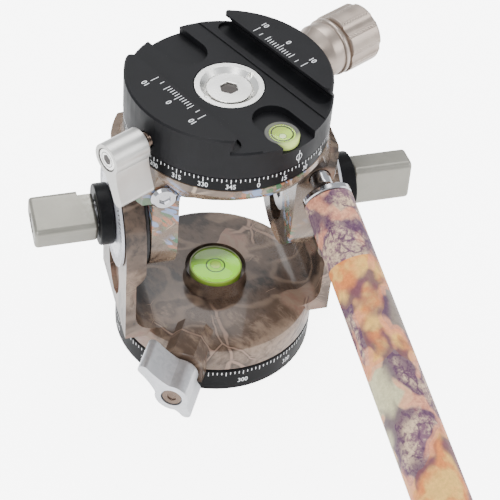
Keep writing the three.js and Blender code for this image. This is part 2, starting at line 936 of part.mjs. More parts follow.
function saddleSideView() {
  const half = yoke.armHalfWidth;
  const shape = new THREE.Shape();
  shape.moveTo(-half, discLow + overrun);
  shape.lineTo(-half, shoulderBottom);
  shape.lineTo(-saddleArmRadius, shoulderBottom);
  shape.lineTo(-saddleArmRadius, tilt.height);
  shape.absarc(0, tilt.height, saddleArmRadius, Math.PI, turn, false);
  shape.lineTo(saddleArmRadius, shoulderBottom);
  shape.lineTo(half, shoulderBottom);
  shape.lineTo(half, discLow + overrun);
  return shape;
}

function buildSaddle() {
  const disc = rod(ringRadius, discLow, saddleTop, facets.rim);
  const cone = turned(
    [
      [0, saddleTop - saddle.coneDrop],
      [ringRadius - saddle.coneInset, saddleTop - saddle.coneDrop],
      [ringRadius, discLow],
      [ringRadius, discLow + gap],
      [0, discLow + gap],
    ],
    facets.rim,
  );
  const front = solid(alongY(saddleFrontView(), ringRadius));
  const side = solid(alongX(saddleSideView(), -shoulderOuter, shoulderOuter));
  const waist = turned(
    [
      [0, 0],
      [shoulderOuter + saddle.shoulderOverhang, 0],
      [shoulderOuter + saddle.shoulderOverhang, shoulderTop - gap],
      [ringRadius + saddle.neckOverhang, shoulderTop],
      [ringRadius, discLow],
      [ringRadius, saddleTop],
      [0, saddleTop],
    ],
    facets.rim,
  );
  const body = front.intersect(join(side, solid(cone))).intersect(solid(waist));
  const tools = [];
  for (const [, side] of sides) {
    tools.push(
      onTiltAxis(rod(tilt.axleRadius + gap, saddleArmInner - overrun, saddleArmOuter + overrun), side),
    );
    const pocket = alongX(
      oval(tilt.axleHeadRadius + gap * 2, tilt.pocketHalfHeight, tilt.height),
      saddleArmInner - overrun,
      saddleArmInner + tilt.pocketDepth,
    );
    tools.push(side > 0 ? pocket : pocket.rotateZ(Math.PI));
  }
  const handleBore = rod(handle.seatRadius + gap, -handle.seatDepth, handle.seatDepth, facets.small);
  tools.push(handleBore.applyMatrix4(seatGroup().matrix));
  const plugBore = rod(plug.shankRadius + gap, -overrun, plug.shankLength + gap, facets.small);
  const spotFace = rod(plug.headRadius + gap, -plug.shankLength, 0, facets.medium);
  for (const tool of [plugBore, spotFace]) {
    tools.push(tool.rotateX(-quarter).translate(...plugPlace));
  }
  piece('saddle', cut(join(solid(disc), body), ...tools.map(solid)), finishes.camo);
}

// Frame of the handle seat: origin on the shoulder's front face, local +Z along the handle.
function seatGroup() {
  const group = new THREE.Group();
  const { outward, downward } = handle;
  const out = new THREE.Vector3(
    Math.sin(outward) * Math.cos(downward),
    -Math.cos(outward) * Math.cos(downward),
    -Math.sin(downward),
  );
  const across = new THREE.Vector3(0, 0, 1).cross(out).normalize();
  const up = new THREE.Vector3().crossVectors(out, across);
  group.setRotationFromMatrix(new THREE.Matrix4().makeBasis(across, up, out));
  group.position.set(shoulderOuter - handle.seatInset, -yoke.armHalfWidth, shoulderBottom + handle.seatRise);
  group.updateMatrix();
  return group;
}

function buildPlug() {
  const group = new THREE.Group();
  group.rotation.x = quarter;
  group.position.set(...plugPlace);
  head.add(group);
  const body = turned([
    [0, -plug.shankLength],
    [plug.shankRadius, -plug.shankLength],
    [plug.shankRadius, gap],
    [plug.headRadius, gap],
    [plug.headRadius, plug.headHeight / 2],
    [plug.headRadius - plug.headHeight / 2, plug.headHeight],
    [0, plug.headHeight],
  ]);
  const hex = hexagon(plug.hexRadius, plug.headHeight - plug.hexDepth, plug.headHeight + overrun);
  piece('blanking_plug', cut(solid(body), solid(hex)), finishes.chrome, group);
}

function buildHandle() {
  const group = seatGroup();
  head.add(group);
  const faceClear = handle.seatRadius * Math.tan(handle.downward) + gap * 2;
  const collarLow = faceClear + handle.neckLength;
  const collarHigh = collarLow + handle.collarLength;
  const flare = handle.flareShares.map(([along, out]) => [
    handle.seatRadius + (handle.collarRadius - handle.seatRadius) * out,
    faceClear + handle.neckLength * along,
  ]);
  const neck = turned([
    [0, -handle.seatDepth + gap],
    [handle.seatRadius, -handle.seatDepth + gap],
    [handle.seatRadius, faceClear],
    ...flare,
    [handle.collarRadius, collarHigh],
    [0, collarHigh],
  ]);
  piece('handle_neck', solid(neck), finishes.chrome, group);
  const gripLow = collarHigh + gap;
  const gripHigh = gripLow + handle.gripLength;
  const rodHigh = gripHigh + handle.capLength / 2;
  piece('handle_rod', solid(rod(handle.rodRadius, gripLow, rodHigh)), finishes.steel, group);
  const grip = turned(
    [
      [handle.rodRadius + gap, gripLow],
      [handle.gripStartRadius, gripLow],
      [handle.gripEndRadius, gripHigh],
      [handle.rodRadius + gap, gripHigh],
      [handle.rodRadius + gap, gripLow],
    ],
    facets.large,
  );
  piece('handle_grip', solid(grip), finishes.grip, group);
  const capLow = gripHigh + gap;
  const capHigh = capLow + handle.capLength;
  const cap = turned([
    [0, capLow],
    [handle.capRadius, capLow],
    [handle.capRadius, capHigh - handle.capRound],
    [handle.capRadius - handle.capRound * roundShare, capHigh - handle.capRound * roundShare],
    [handle.capRadius - handle.capRound, capHigh],
    [0, capHigh],
  ]);
  const seat = rod(handle.rodRadius + gap, capLow - overrun, rodHigh + gap);
  piece('handle_end_cap', cut(solid(cap), solid(seat)), finishes.polymer, group);
}

// Upper pan

function buildUpperPan() {
  const ring = tube(
    upperPan.hubFlange + gap,
    ringRadius,
    ringLow,
    ringHigh,
    facets.rim,
  );
  piece('clamp_scale_ring', solid(ring), finishes.black);
  const hub = turned(
    [
      [0, ringLow],
      [upperPan.hubFlange, ringLow],
      [upperPan.hubFlange, ringLow + upperPan.hubFlangeHeight],
      [upperPan.hubRadius, ringLow + upperPan.hubFlangeHeight],
      [upperPan.hubRadius, hubTop],
      [0, hubTop],
    ],
    facets.large,
  );
  const hole = rod(
    insert.shankRadius + gap,
    screwHeadLow - insert.shankLength - gap,
    hubTop + overrun,
    facets.small,
  );
  piece('clamp_pan_hub', cut(solid(hub), solid(hole)), finishes.steel);
}

// Clamp, drawn with the channel along local X and the moving jaw towards +Y

// Cross-section of a jaw over the floor: undercut foot, sloping flank and upright lip.
function jawPoints(outer, low) {
  const lipLow = clampTop - clamp.lipEdge;
  return [
    [outer, low],
    [outer, clampTop],
    [lipHalfWidth, clampTop],
    [lipHalfWidth, lipLow],
    [footHalfWidth, lipLow - clamp.undercut],
    [footHalfWidth, low],
  ];
}

// Plan of a jaw on the +Y side: cut off the disc along the lip, with both tips rounded.
function jawPlan(radius) {
  const tip = clamp.jawTipRadius;
  const middle = lipHalfWidth + tip;
  const across = Math.sqrt((radius - tip) ** 2 - middle ** 2);
  const lean = Math.atan2(middle, across);
  const shape = new THREE.Shape();
  shape.absarc(across, middle, tip, -quarter, lean, false);
  shape.absarc(0, 0, radius, lean, Math.PI - lean, false);
  shape.absarc(-across, middle, tip, Math.PI - lean, Math.PI + quarter, false);
  return shape;
}

function jawPrism(radius) {
  const options = { depth: clampTop - clampLow + overrun, bevelEnabled: false, curveSegments: facets.rim };
  return new THREE.ExtrudeGeometry(jawPlan(radius), options).translate(0, 0, clampLow);
}

function clampDisc(radius, low, high) {
  return turned(
    [
      [0, low],
      [radius, low],
      [radius, high - clamp.edge],
      [radius - clamp.edge, high],
      [0, high],
    ],
    facets.rim,
  );
}

// Round-ended slots in the floor along the feet of both jaws
function footSlots() {
  const half = clamp.slotWidth / 2;
  const middle = (footHalfWidth + slotInner) / 2;
  const low = stripTop - clamp.slotDepth;
  const high = stripTop + gap;
  const end = clampRadius - clamp.slotInset - half;
  return [-1, 1].flatMap((way) => [
    boxBetween([-end, way * middle - half, low], [end, way * middle + half, high]),
    rod(half, low, high, facets.small).translate(-end, way * middle, 0),
    rod(half, low, high, facets.small).translate(end, way * middle, 0),
  ]);
}

function buildClampBody() {
  const lower = clampDisc(clampRadius, clampLow, stripTop);
  const upper = clampDisc(clampRadius, clampFloor - overrun, clampTop);
  const jawProfile = jawPoints(clampRadius + overrun, clampFloor - overrun).map(([y, z]) => [-y, z]);
  const fixedJaw = solid(alongX(outline(jawProfile), -clampRadius, clampRadius))
    .intersect(solid(upper))
    .intersect(solid(jawPrism(clampRadius).rotateZ(Math.PI)));
  const reach = clampRadius + overrun;
  const shelfTop = clampLow + clamp.shelf;
  const jawRoom = boxBetween([-reach, seam, shelfTop], [reach, reach, clampTop + overrun]);
  const hubRoom = tube(0, upperPan.hubRadius + gap, clampLow - overrun, hubCavityTop, facets.large);
  const insertSeat = rod(insert.radius + gap, insertLow - gap, clampTop, facets.large);
  const screwHole = rod(insert.shankRadius + gap, clampLow, clampFloor, facets.small);
  const pocketLow = clampFloor - clamp.pocketDepth;
  const band = boxBetween(
    [-reach, -bandHalfWidth, clampFloor],
    [reach, bandHalfWidth, clampTop],
  );
  const tools = [jawRoom, hubRoom, insertSeat, screwHole, band, ...footSlots()];
  for (const way of [-1, 1]) {
    tools.push(
      rod(clamp.pocketHalfWidth, pocketLow, clampTop, facets.medium).translate(
        way * pocketMiddle,
        0,
        0,
      ),
    );
    const mouth = boxBetween(
      [pocketMiddle, -clamp.pocketHalfWidth, pocketLow],
      [reach, clamp.pocketHalfWidth, clampTop],
    );
    tools.push(way > 0 ? mouth : mouth.rotateZ(Math.PI));
  }
  const levelSeat = rod(level.clampRadius + gap, clampLevelTop - level.clampHeight - gap, clampTop);
  tools.push(levelSeat.translate(...clampLevelPlace, 0));
  const crossBore = (radius, low, high, x = 0) =>
    rod(radius, low, high, facets.small).rotateX(-quarter).translate(x, 0, crossAxis);
  tools.push(crossBore(jawKnob.screwRadius + gap, jawScrewStart - gap, reach));
  tools.push(crossBore(upperLock.padRadius + gap, 0, reach).rotateZ(Math.PI));
  for (const way of [-1, 1]) {
    tools.push(crossBore(guide.pinRadius + gap, pinStart - gap, reach, way * guide.pinSpacing));
    const springSeat = seam - guide.springLength;
    tools.push(crossBore(guide.springOuter + gap, springSeat, seam + overrun, way * guide.pinSpacing));
  }
  const whole = join(solid(lower), fixedJaw);
  piece('clamp_body', cut(whole, ...tools.map(solid)), finishes.black, clampGroup);
}

function buildMovingJaw() {
  const shelfTop = clampLow + clamp.shelf + gap;
  const reach = jawRadius + overrun;
  const inner = seam + gap;
  const points = [
    ...jawPoints(reach, stripTop + gap).slice(1),
    [inner, stripTop + gap],
    [inner, shelfTop],
    [reach, shelfTop],
  ];
  const block = solid(alongX(outline(points), -reach, reach)).intersect(solid(jawPrism(jawRadius)));
  const disc = solid(clampDisc(jawRadius, shelfTop, clampTop));
  const crossBore = (radius, low, high, x = 0) =>
    solid(rod(radius, low, high, facets.small).rotateX(-quarter).translate(x, 0, crossAxis));
  const screwHole = crossBore(jawKnob.screwRadius + gap, 0, reach);
  const pins = [-1, 1].map((way) =>
    crossBore(guide.pinRadius + gap, 0, pinEnd + gap, way * guide.pinSpacing),
  );
  const noseEnd = jawKnobStart - jawKnob.washerThickness - gap * 2;
  const nose = crossBore(jawKnob.noseRadius, inner, noseEnd).intersect(
    solid(boxBetween([-reach, inner, shelfTop], [reach, reach, clampTop])),
  );
  piece(
    'moving_jaw',
    cut(join(block.intersect(disc), nose), screwHole, ...pins),
    finishes.black,
    clampGroup,
  );
  for (const [name, side] of sides) {
    const pin = rod(guide.pinRadius, pinStart, pinEnd, facets.small)
      .rotateX(-quarter)
      .translate(side * guide.pinSpacing, 0, crossAxis);
    piece(`${name}_guide_pin`, solid(pin), finishes.steel, clampGroup);
    const springLow = seam - guide.springLength + gap;
    const spring = tube(guide.pinRadius + gap, guide.springOuter, springLow, seam, facets.small)
      .rotateX(-quarter)
      .translate(side * guide.pinSpacing, 0, crossAxis);
    piece(`${name}_jaw_spring`, solid(spring), finishes.steel, clampGroup);
  }
}

function buildInsert() {
  const seat = insertTop - insert.counterboreDepth;
  const ring = turned(
    [
      [insert.shankRadius + gap, insertLow],
      [insert.radius, insertLow],
      [insert.radius, insertTop],
      [insert.rimRadius, insertTop],
      [insert.counterbore, insertTop - insert.coneDepth],
      [insert.counterbore, seat],
      [insert.shankRadius + gap, seat],
      [insert.shankRadius + gap, insertLow],
    ],
    facets.large,
  );
  const notchLow = insertTop - insert.notchDepth;
  const notches = [-1, 1].flatMap((way) => {
    const near = Math.min(way * insert.notchStart, way * insert.notchEnd);
    const far = Math.max(way * insert.notchStart, way * insert.notchEnd);
    return [
      boxBetween([-insert.notchRadius, near, notchLow], [insert.notchRadius, far, insertTop + overrun]),
      rod(insert.notchRadius, notchLow, insertTop + overrun, facets.small).translate(
        0,
        way * insert.notchEnd,
        0,
      ),
    ];
  });
  piece('centre_insert', cut(solid(ring), ...notches.map(solid)), finishes.chrome, clampGroup);
  const screw = turned([
    [0, screwHeadLow - insert.shankLength],
    [insert.shankRadius, screwHeadLow - insert.shankLength],
    [insert.shankRadius, screwHeadLow],
    [insert.screwHead, screwHeadLow],
    [insert.screwHead, screwHeadLow + insert.screwHeadHeight],
    [0, screwHeadLow + insert.screwHeadHeight],
  ]);
  const headTop = screwHeadLow + insert.screwHeadHeight;
  const hex = hexagon(insert.hexRadius, headTop - insert.hexDepth, headTop + overrun);
  piece('centre_screw', cut(solid(screw), solid(hex)), finishes.steel, clampGroup);
}

function buildJawKnob() {
  const group = new THREE.Group();
  group.rotation.x = -quarter;
  group.position.z = crossAxis;
  clampGroup.add(group);
  const bellLow = jawKnobStart + jawKnob.skirtLength;
  const flangeLow = bellLow + jawKnob.bellLength;
  const grooveLow = flangeLow + jawKnob.flangeLength;
  const gripLow = grooveLow + jawKnob.grooveLength;
  const end = gripLow + jawKnob.gripLength;
  const body = turned(
    [
      [0, jawKnobStart],
      [jawKnob.skirtRadius, jawKnobStart],
      [jawKnob.bellRadius, bellLow],
      [jawKnob.waistRadius, flangeLow],
      [jawKnob.flangeRadius, flangeLow],
      [jawKnob.flangeRadius, grooveLow],
      [jawKnob.grooveRadius, grooveLow],
      [jawKnob.grooveRadius, gripLow],
      [jawKnob.gripRadius, gripLow],
      [jawKnob.gripRadius, end - jawKnob.endBevel],
      [jawKnob.gripRadius - jawKnob.endBevel, end],
      [0, end],
    ],
    facets.large,
  );
  const fluteMiddle = jawKnob.gripRadius + jawKnob.fluteRadius - jawKnob.fluteBite;
  const flutes = Array.from({ length: jawKnob.fluteCount }, (_, i) =>
    solid(
      rod(jawKnob.fluteRadius, gripLow, end + overrun, facets.small)
        .translate(fluteMiddle, 0, 0)
        .rotateZ((i * turn) / jawKnob.fluteCount),
    ),
  );
  const bore = solid(
    rod(jawKnob.boreRadius, jawKnobStart - overrun, jawKnobStart + jawKnob.boreDepth, facets.small),
  );
  const recess = solid(
    rod(jawKnob.capRadius + gap, end - jawKnob.capDepth, end + overrun, facets.small),
  );
  piece('jaw_knob', cut(solid(body), bore, recess, ...flutes), finishes.satin, group);
  const screwEnd = jawKnobStart + jawKnob.boreDepth - gap;
  piece(
    'jaw_screw',
    solid(rod(jawKnob.screwRadius, jawScrewStart, screwEnd, facets.small)),
    finishes.steel,
    group,
  );
  const cap = rod(jawKnob.capRadius, end - jawKnob.capDepth + gap, end - gap, facets.small);
  piece('jaw_knob_cap', solid(cap), finishes.steel, group);
  const washerHigh = jawKnobStart - gap;
  const washer = tube(
    jawKnob.screwRadius + gap,
    jawKnob.washerRadius,
    washerHigh - jawKnob.washerThickness,
    washerHigh,
    facets.small,
  );
  piece('jaw_knob_washer', solid(washer), finishes.brass, group);
}

buildBase();
buildYoke();
buildLevel('base', level.baseRadius, baseCupLow, baseCupHigh, head);
buildLock('lower', lowerLock, head, {
  heading: lowerLock.heading,
  height: lowerLockHeight,
  start: lugEnd + lowerLock.hubClearance,
  padStart: spigotRadius + gap,
});
sides.forEach(([name, side]) => buildTiltStack(name, side));
buildSaddle();
buildPlug();
buildHandle();
buildUpperPan();
buildClampBody();
buildMovingJaw();
buildInsert();
buildLevel(
  'clamp',
  level.clampRadius,
  clampLevelTop - level.clampHeight,
  clampLevelTop,
  clampGroup,
  clampLevelPlace,
);
buildLock('upper', upperLock, clampGroup, {
  heading: -quarter,
  height: crossAxis,
  start: clampRadius + upperLock.hubClearance,
  padStart: upperPan.hubRadius + gap,
});
buildJawKnob();

export default head;
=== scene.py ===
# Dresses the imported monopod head: finishes, scales, levels, camouflage and soft studio light.
import json
import math
import bpy
import bmesh
from mathutils import Matrix, Vector


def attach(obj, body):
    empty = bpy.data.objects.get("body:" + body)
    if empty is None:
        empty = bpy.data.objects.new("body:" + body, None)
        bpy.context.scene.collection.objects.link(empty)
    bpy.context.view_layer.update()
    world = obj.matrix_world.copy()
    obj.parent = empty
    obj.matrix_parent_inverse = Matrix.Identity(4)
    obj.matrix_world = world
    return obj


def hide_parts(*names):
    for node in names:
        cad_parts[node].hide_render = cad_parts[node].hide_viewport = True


mm = 0.001
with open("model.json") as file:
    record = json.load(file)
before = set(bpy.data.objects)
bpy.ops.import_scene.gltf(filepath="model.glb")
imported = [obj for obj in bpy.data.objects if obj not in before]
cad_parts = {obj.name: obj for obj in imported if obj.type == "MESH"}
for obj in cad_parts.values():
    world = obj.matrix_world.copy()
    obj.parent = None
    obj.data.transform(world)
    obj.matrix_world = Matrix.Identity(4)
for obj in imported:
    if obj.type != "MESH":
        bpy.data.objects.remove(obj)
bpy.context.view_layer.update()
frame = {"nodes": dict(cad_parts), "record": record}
record = frame["record"]
bodyOf = {node: body for body, nodes in record["behaviour"]["bodies"].items() for node in nodes}
slotOf = {part["node"]: part["material_slot"] for part in record["subparts"]}
print("frame loaded,", len(frame["nodes"]), "solids")


# Frames of the turned groups, read from the joints and the solids
joints = {joint["name"]: joint for joint in record["behaviour"]["joints"]}
slideAxis = Vector(joints["jaw_slide"]["axis"])
crossHeight = joints["jaw_knob_spin"]["pos_m"][2]
tiltHeight = joints["tilt"]["pos_m"][2] / mm
clampFrame = Matrix.Rotation(math.atan2(slideAxis.y, slideAxis.x) - math.pi / 2, 4, "Z")
jawKnobFrame = clampFrame @ Matrix.Translation((0, 0, crossHeight)) @ Matrix.Rotation(-math.pi / 2, 4, "X")


def cornersOf(node, frameOfNode=Matrix.Identity(4)):
    solid = frame["nodes"][node]
    inverse = frameOfNode.inverted() @ solid.matrix_world
    return [(inverse @ vert.co) / mm for vert in solid.data.vertices]


def sizeOf(node, frameOfNode=Matrix.Identity(4)):
    # in mm, along and around the frame's own Z
    corners = cornersOf(node, frameOfNode)
    heights = [corner.z for corner in corners]
    radii = [math.hypot(corner.x, corner.y) for corner in corners]
    return {"low": min(heights), "high": max(heights), "radius": max(radii)}


def middleOf(node):
    corners = cornersOf(node)
    return sum(corners, Vector()) / len(corners)


def outwardFrame(out, origin):
    # local Z points out, local X lies level, local Y is up
    out = Vector(out).normalized()
    across = Vector((0, 0, 1)).cross(out).normalized()
    up = out.cross(across)
    turn = Matrix((across, up, out)).transposed().to_4x4()
    return Matrix.Translation(Vector(origin) * mm) @ turn


def outOf(matrix):
    return matrix.to_3x3() @ Vector((0, 0, 1))


handleFrame = outwardFrame(middleOf("handle_grip") - middleOf("handle_neck"), middleOf("handle_neck"))


# Camera and light
cameraSpec = {
    "azimuth": -19.12, "elevation": 45.25, "roll": 5.65, "distance": 438.57,
    "target": (3.87, -20.21, 50), "lens": 108, "sensor": 36, "near": 10,
}


def makeCamera(spec):
    azimuth, elevation, roll = (math.radians(spec[k]) for k in ("azimuth", "elevation", "roll"))
    back = Vector((
        math.sin(azimuth) * math.cos(elevation),
        -math.cos(azimuth) * math.cos(elevation),
        math.sin(elevation),
    ))
    right = Vector((math.cos(azimuth), math.sin(azimuth), 0))
    up = back.cross(right)
    right, up = (
        right * math.cos(roll) + up * math.sin(roll),
        up * math.cos(roll) - right * math.sin(roll),
    )
    lens = bpy.data.cameras.new("camera")
    lens.sensor_width = spec["sensor"]
    lens.lens = spec["lens"]
    lens.clip_start = spec["near"] * mm
    camera = bpy.data.objects.new("camera", lens)
    turn = Matrix((right, up, back)).transposed().to_4x4()
    place = Vector(spec["target"]) * mm + back * spec["distance"] * mm
    camera.matrix_world = Matrix.Translation(place) @ turn
    bpy.context.scene.collection.objects.link(camera)
    bpy.context.scene.camera = camera


lights = {
    "key": {"from": (-0.5, -0.55, 0.75), "size": 0.55, "power": 6.5},
    "fill": {"from": (0.65, -0.35, 0.45), "size": 0.5, "power": 3.0},
    "top": {"from": (0.05, 0.35, 0.8), "size": 0.6, "power": 5.0},
}
lightTarget = Vector((0, 0, 0.05))
skySpec = {"colour": (0.94, 0.97, 1, 1), "strength": 0.9}


def makeLights(specs):
    for name, spec in specs.items():
        lamp = bpy.data.lights.new(name, "AREA")
        lamp.shape = "DISK"
        lamp.size = spec["size"]
        lamp.energy = spec["power"]
        light = bpy.data.objects.new(name, lamp)
        aim = Vector(spec["from"]) - lightTarget
        light.rotation_euler = aim.to_track_quat("Z", "Y").to_euler()
        light.location = spec["from"]
        bpy.context.scene.collection.objects.link(light)


def makeSky(spec):
    world = bpy.data.worlds.new("studio")
    world.use_nodes = True
    sky = world.node_tree.nodes["Background"]
    sky.inputs["Color"].default_value = spec["colour"]
    sky.inputs["Strength"].default_value = spec["strength"]
    bpy.context.scene.world = world


makeCamera(cameraSpec)
makeLights(lights)
makeSky(skySpec)
print("camera and lights set")


# Node helpers
def addNode(tree, kind, inputs=None, **settings):
    made = tree.nodes.new(kind)
    for key, value in settings.items():
        setattr(made, key, value)
    for key, value in (inputs or {}).items():
        if isinstance(value, bpy.types.NodeSocket):
            tree.links.new(value, made.inputs[key])
        else:
            made.inputs[key].default_value = value
    return made


def newGroup(name, inputs, outputs):
    group = bpy.data.node_groups.new(name, "ShaderNodeTree")
    for way, sockets in (("INPUT", inputs), ("OUTPUT", outputs)):
        for label, kind in sockets.items():
            group.interface.new_socket(name=label, in_out=way, socket_type="NodeSocket" + kind)
    return group, group.nodes.new("NodeGroupInput").outputs, group.nodes.new("NodeGroupOutput").inputs


def mathNode(tree, operation, a, b=None):
    inputs = {0: a} if b is None else {0: a, 1: b}
    return addNode(tree, "ShaderNodeMath", inputs, operation=operation).outputs[0]


def vectorNode(tree, operation, a, b=None, output="Vector"):
    inputs = {0: a} if b is None else {0: a, 1: b}
    return addNode(tree, "ShaderNodeVectorMath", inputs, operation=operation).outputs[output]


def blended(tree, a, b, share):
    # the first value's share and the rest of the second
    first = mathNode(tree, "MULTIPLY", a, share)
    return mathNode(tree, "ADD", first, mathNode(tree, "MULTIPLY", b, 1 - share))


def mixColour(tree, factor, a, b, blend="MIX"):
    inputs = {0: factor, 6: a, 7: b}
    return addNode(tree, "ShaderNodeMix", inputs, data_type="RGBA", blend_type=blend).outputs[2]


def layered(tree, below, mask, above, weight=1.0):
    return mixColour(tree, mathNode(tree, "MULTIPLY", mask, weight), below, above)


def remap(tree, value, low, high, outLow=0.0, outHigh=1.0):
    made = addNode(tree, "ShaderNodeMapRange", {
        "Value": value, "From Min": low, "From Max": high, "To Min": outLow, "To Max": outHigh,
    }, interpolation_type="SMOOTHSTEP")
    return made.outputs["Result"]


def noiseAt(tree, vector, scale, detail=2.0, roughness=0.5, output=0):
    made = addNode(tree, "ShaderNodeTexNoise", {
        "Vector": vector, "Scale": scale, "Detail": detail, "Roughness": roughness})
    return made.outputs[output]


def turned(tree, vector, turn):
    return addNode(tree, "ShaderNodeMapping", {"Vector": vector, "Rotation": turn}).outputs[0]


def stretched(tree, vector, turn, scale):
    # turned first, so that the scale runs along the turned axes
    return vectorNode(tree, "MULTIPLY", turned(tree, vector, turn), scale)


def warped(tree, vector, scale, reach):
    push = noiseAt(tree, vector, scale, output="Color")
    centred = vectorNode(tree, "SUBTRACT", push, (0.5, 0.5, 0.5))
    return vectorNode(tree, "ADD", vector, vectorNode(tree, "MULTIPLY", centred, (reach, reach, reach)))


def cellsAt(tree, vector, scale):
    # the distance from the middle, and random numbers, for each of a field of cells
    cells = addNode(tree, "ShaderNodeTexVoronoi", {"Vector": vector, "Scale": scale})
    picks = addNode(tree, "ShaderNodeSeparateColor", {0: cells.outputs["Color"]})
    return cells.outputs["Distance"], picks.outputs


def borderOf(tree, vector, scale):
    # the distance from the nearest border between cells
    inputs = {"Vector": vector, "Scale": scale}
    cells = addNode(tree, "ShaderNodeTexVoronoi", inputs, feature="DISTANCE_TO_EDGE")
    return cells.outputs["Distance"]


borderSpec = {"core": 0.35, "breakScale": 1.1, "breakEdge": 0.05}


def brokenBorders(tree, vector, scale, width, cover):
    # thin straight lines along the borders of the cells, each shown only in places
    line = remap(tree, borderOf(tree, vector, scale), width, width * borderSpec["core"])
    breaks = noiseAt(tree, vector, scale * borderSpec["breakScale"], 1.0)
    return mathNode(tree, "MULTIPLY", line, remap(tree, breaks, cover, cover + borderSpec["breakEdge"]))


# Shared effects
grainSpec = {"detail": 3.0, "roughness": 0.6, "broadScale": 0.02, "broadDetail": 4.0, "fineShare": 0.4}


def grainGroup(spec):
    group, given, result = newGroup(
        "fineGrain", {"Vector": "Vector", "Scale": "Float"}, {"Height": "Float", "Tone": "Float"})
    fine = noiseAt(group, given["Vector"], given["Scale"], spec["detail"], spec["roughness"])
    broadScale = mathNode(group, "MULTIPLY", given["Scale"], spec["broadScale"])
    broad = noiseAt(group, given["Vector"], broadScale, spec["broadDetail"])
    group.links.new(fine, result["Height"])
    group.links.new(blended(group, fine, broad, spec["fineShare"]), result["Tone"])
    return group


def turnedGroup():
    # fine rings left by a lathe, about the vector's own Z
    group, given, result = newGroup(
        "turnedRings", {"Vector": "Vector", "Pitch": "Float"}, {"Height": "Float"})
    flat = vectorNode(group, "MULTIPLY", given["Vector"], (1, 1, 0))
    away = vectorNode(group, "LENGTH", flat, output="Value")
    split = addNode(group, "ShaderNodeSeparateXYZ", {0: given["Vector"]})
    reach = mathNode(group, "ADD", away, split.outputs["Z"])
    ramped = mathNode(group, "MULTIPLY", reach, given["Pitch"])
    inputs = {"W": ramped, "Scale": 1.0, "Detail": 2.0}
    lines = addNode(group, "ShaderNodeTexNoise", inputs, noise_dimensions="1D")
    group.links.new(lines.outputs[0], result["Height"])
    return group


wearSpec = {"edges": (0.52, 0.6), "patches": (900.0, 4.0), "patchEdge": (0.35, 0.6)}


def wearGroup(spec):
    # bright worn edges, broken up by noise
    group, given, result = newGroup("edgeWear", {"Vector": "Vector", "Amount": "Float"}, {"Mask": "Float"})
    shape = addNode(group, "ShaderNodeNewGeometry")
    edges = remap(group, shape.outputs["Pointiness"], *spec["edges"])
    patches = remap(group, noiseAt(group, given["Vector"], *spec["patches"]), *spec["patchEdge"])
    both = mathNode(group, "MULTIPLY", edges, patches)
    group.links.new(mathNode(group, "MULTIPLY", both, given["Amount"]), result["Mask"])
    return group


# each noise is (scale, detail, roughness), each warp (scale, reach), each pair a start and an end
woodlandSpec = {
    "colours": ("Dark", "Mid", "Light", "Twig", "Patch", "CoolSheen", "Leaf", "Warm"),
    "bend": (60.0, 0.008), "wave": (90.0, 0.006), "broad": (42.0, 4.0, 0.55), "broadShare": 0.68,
    "streakTurn": (0.1, 0.15, 0.25), "streakStretch": (0.14, 1, 1), "streaks": (420.0, 5.0, 0.7),
    "midTones": (0.4, 0.52), "lightTones": (0.53, 0.66),
    "limbTurn": (0.2, 0.5, -0.4), "limbStretch": (0.16, 1, 1), "limbs": (75.0, 1.0),
    "limbEdge": (0.05, 0.01), "limbWeight": 0.45,
    "patchScale": 70.0, "patchShare": 0.22, "patchEdge": (0.55, 0.38), "patchTones": (0.35, 0.65),
    "patchWeight": 0.85,
    "twigs": ((26.0, 0.018, 0.53), (44.0, 0.016, 0.58), (80.0, 0.014, 0.6)),
    "shadeWidth": 2.6, "shadeWeight": 0.45, "twigWeight": 0.8,
    "bladeTurn": (0.2, 0.35, 0.1), "bladeStretch": (1, 1, 0.16), "bladeScale": 700.0,
    "bladeEdge": (0.62, 0.5), "zones": (48.0, 1.0), "zoneEdge": (0.5, 0.56),
    "warmFrom": 0.4, "leafFrom": 0.72, "paleShare": 0.35,
}


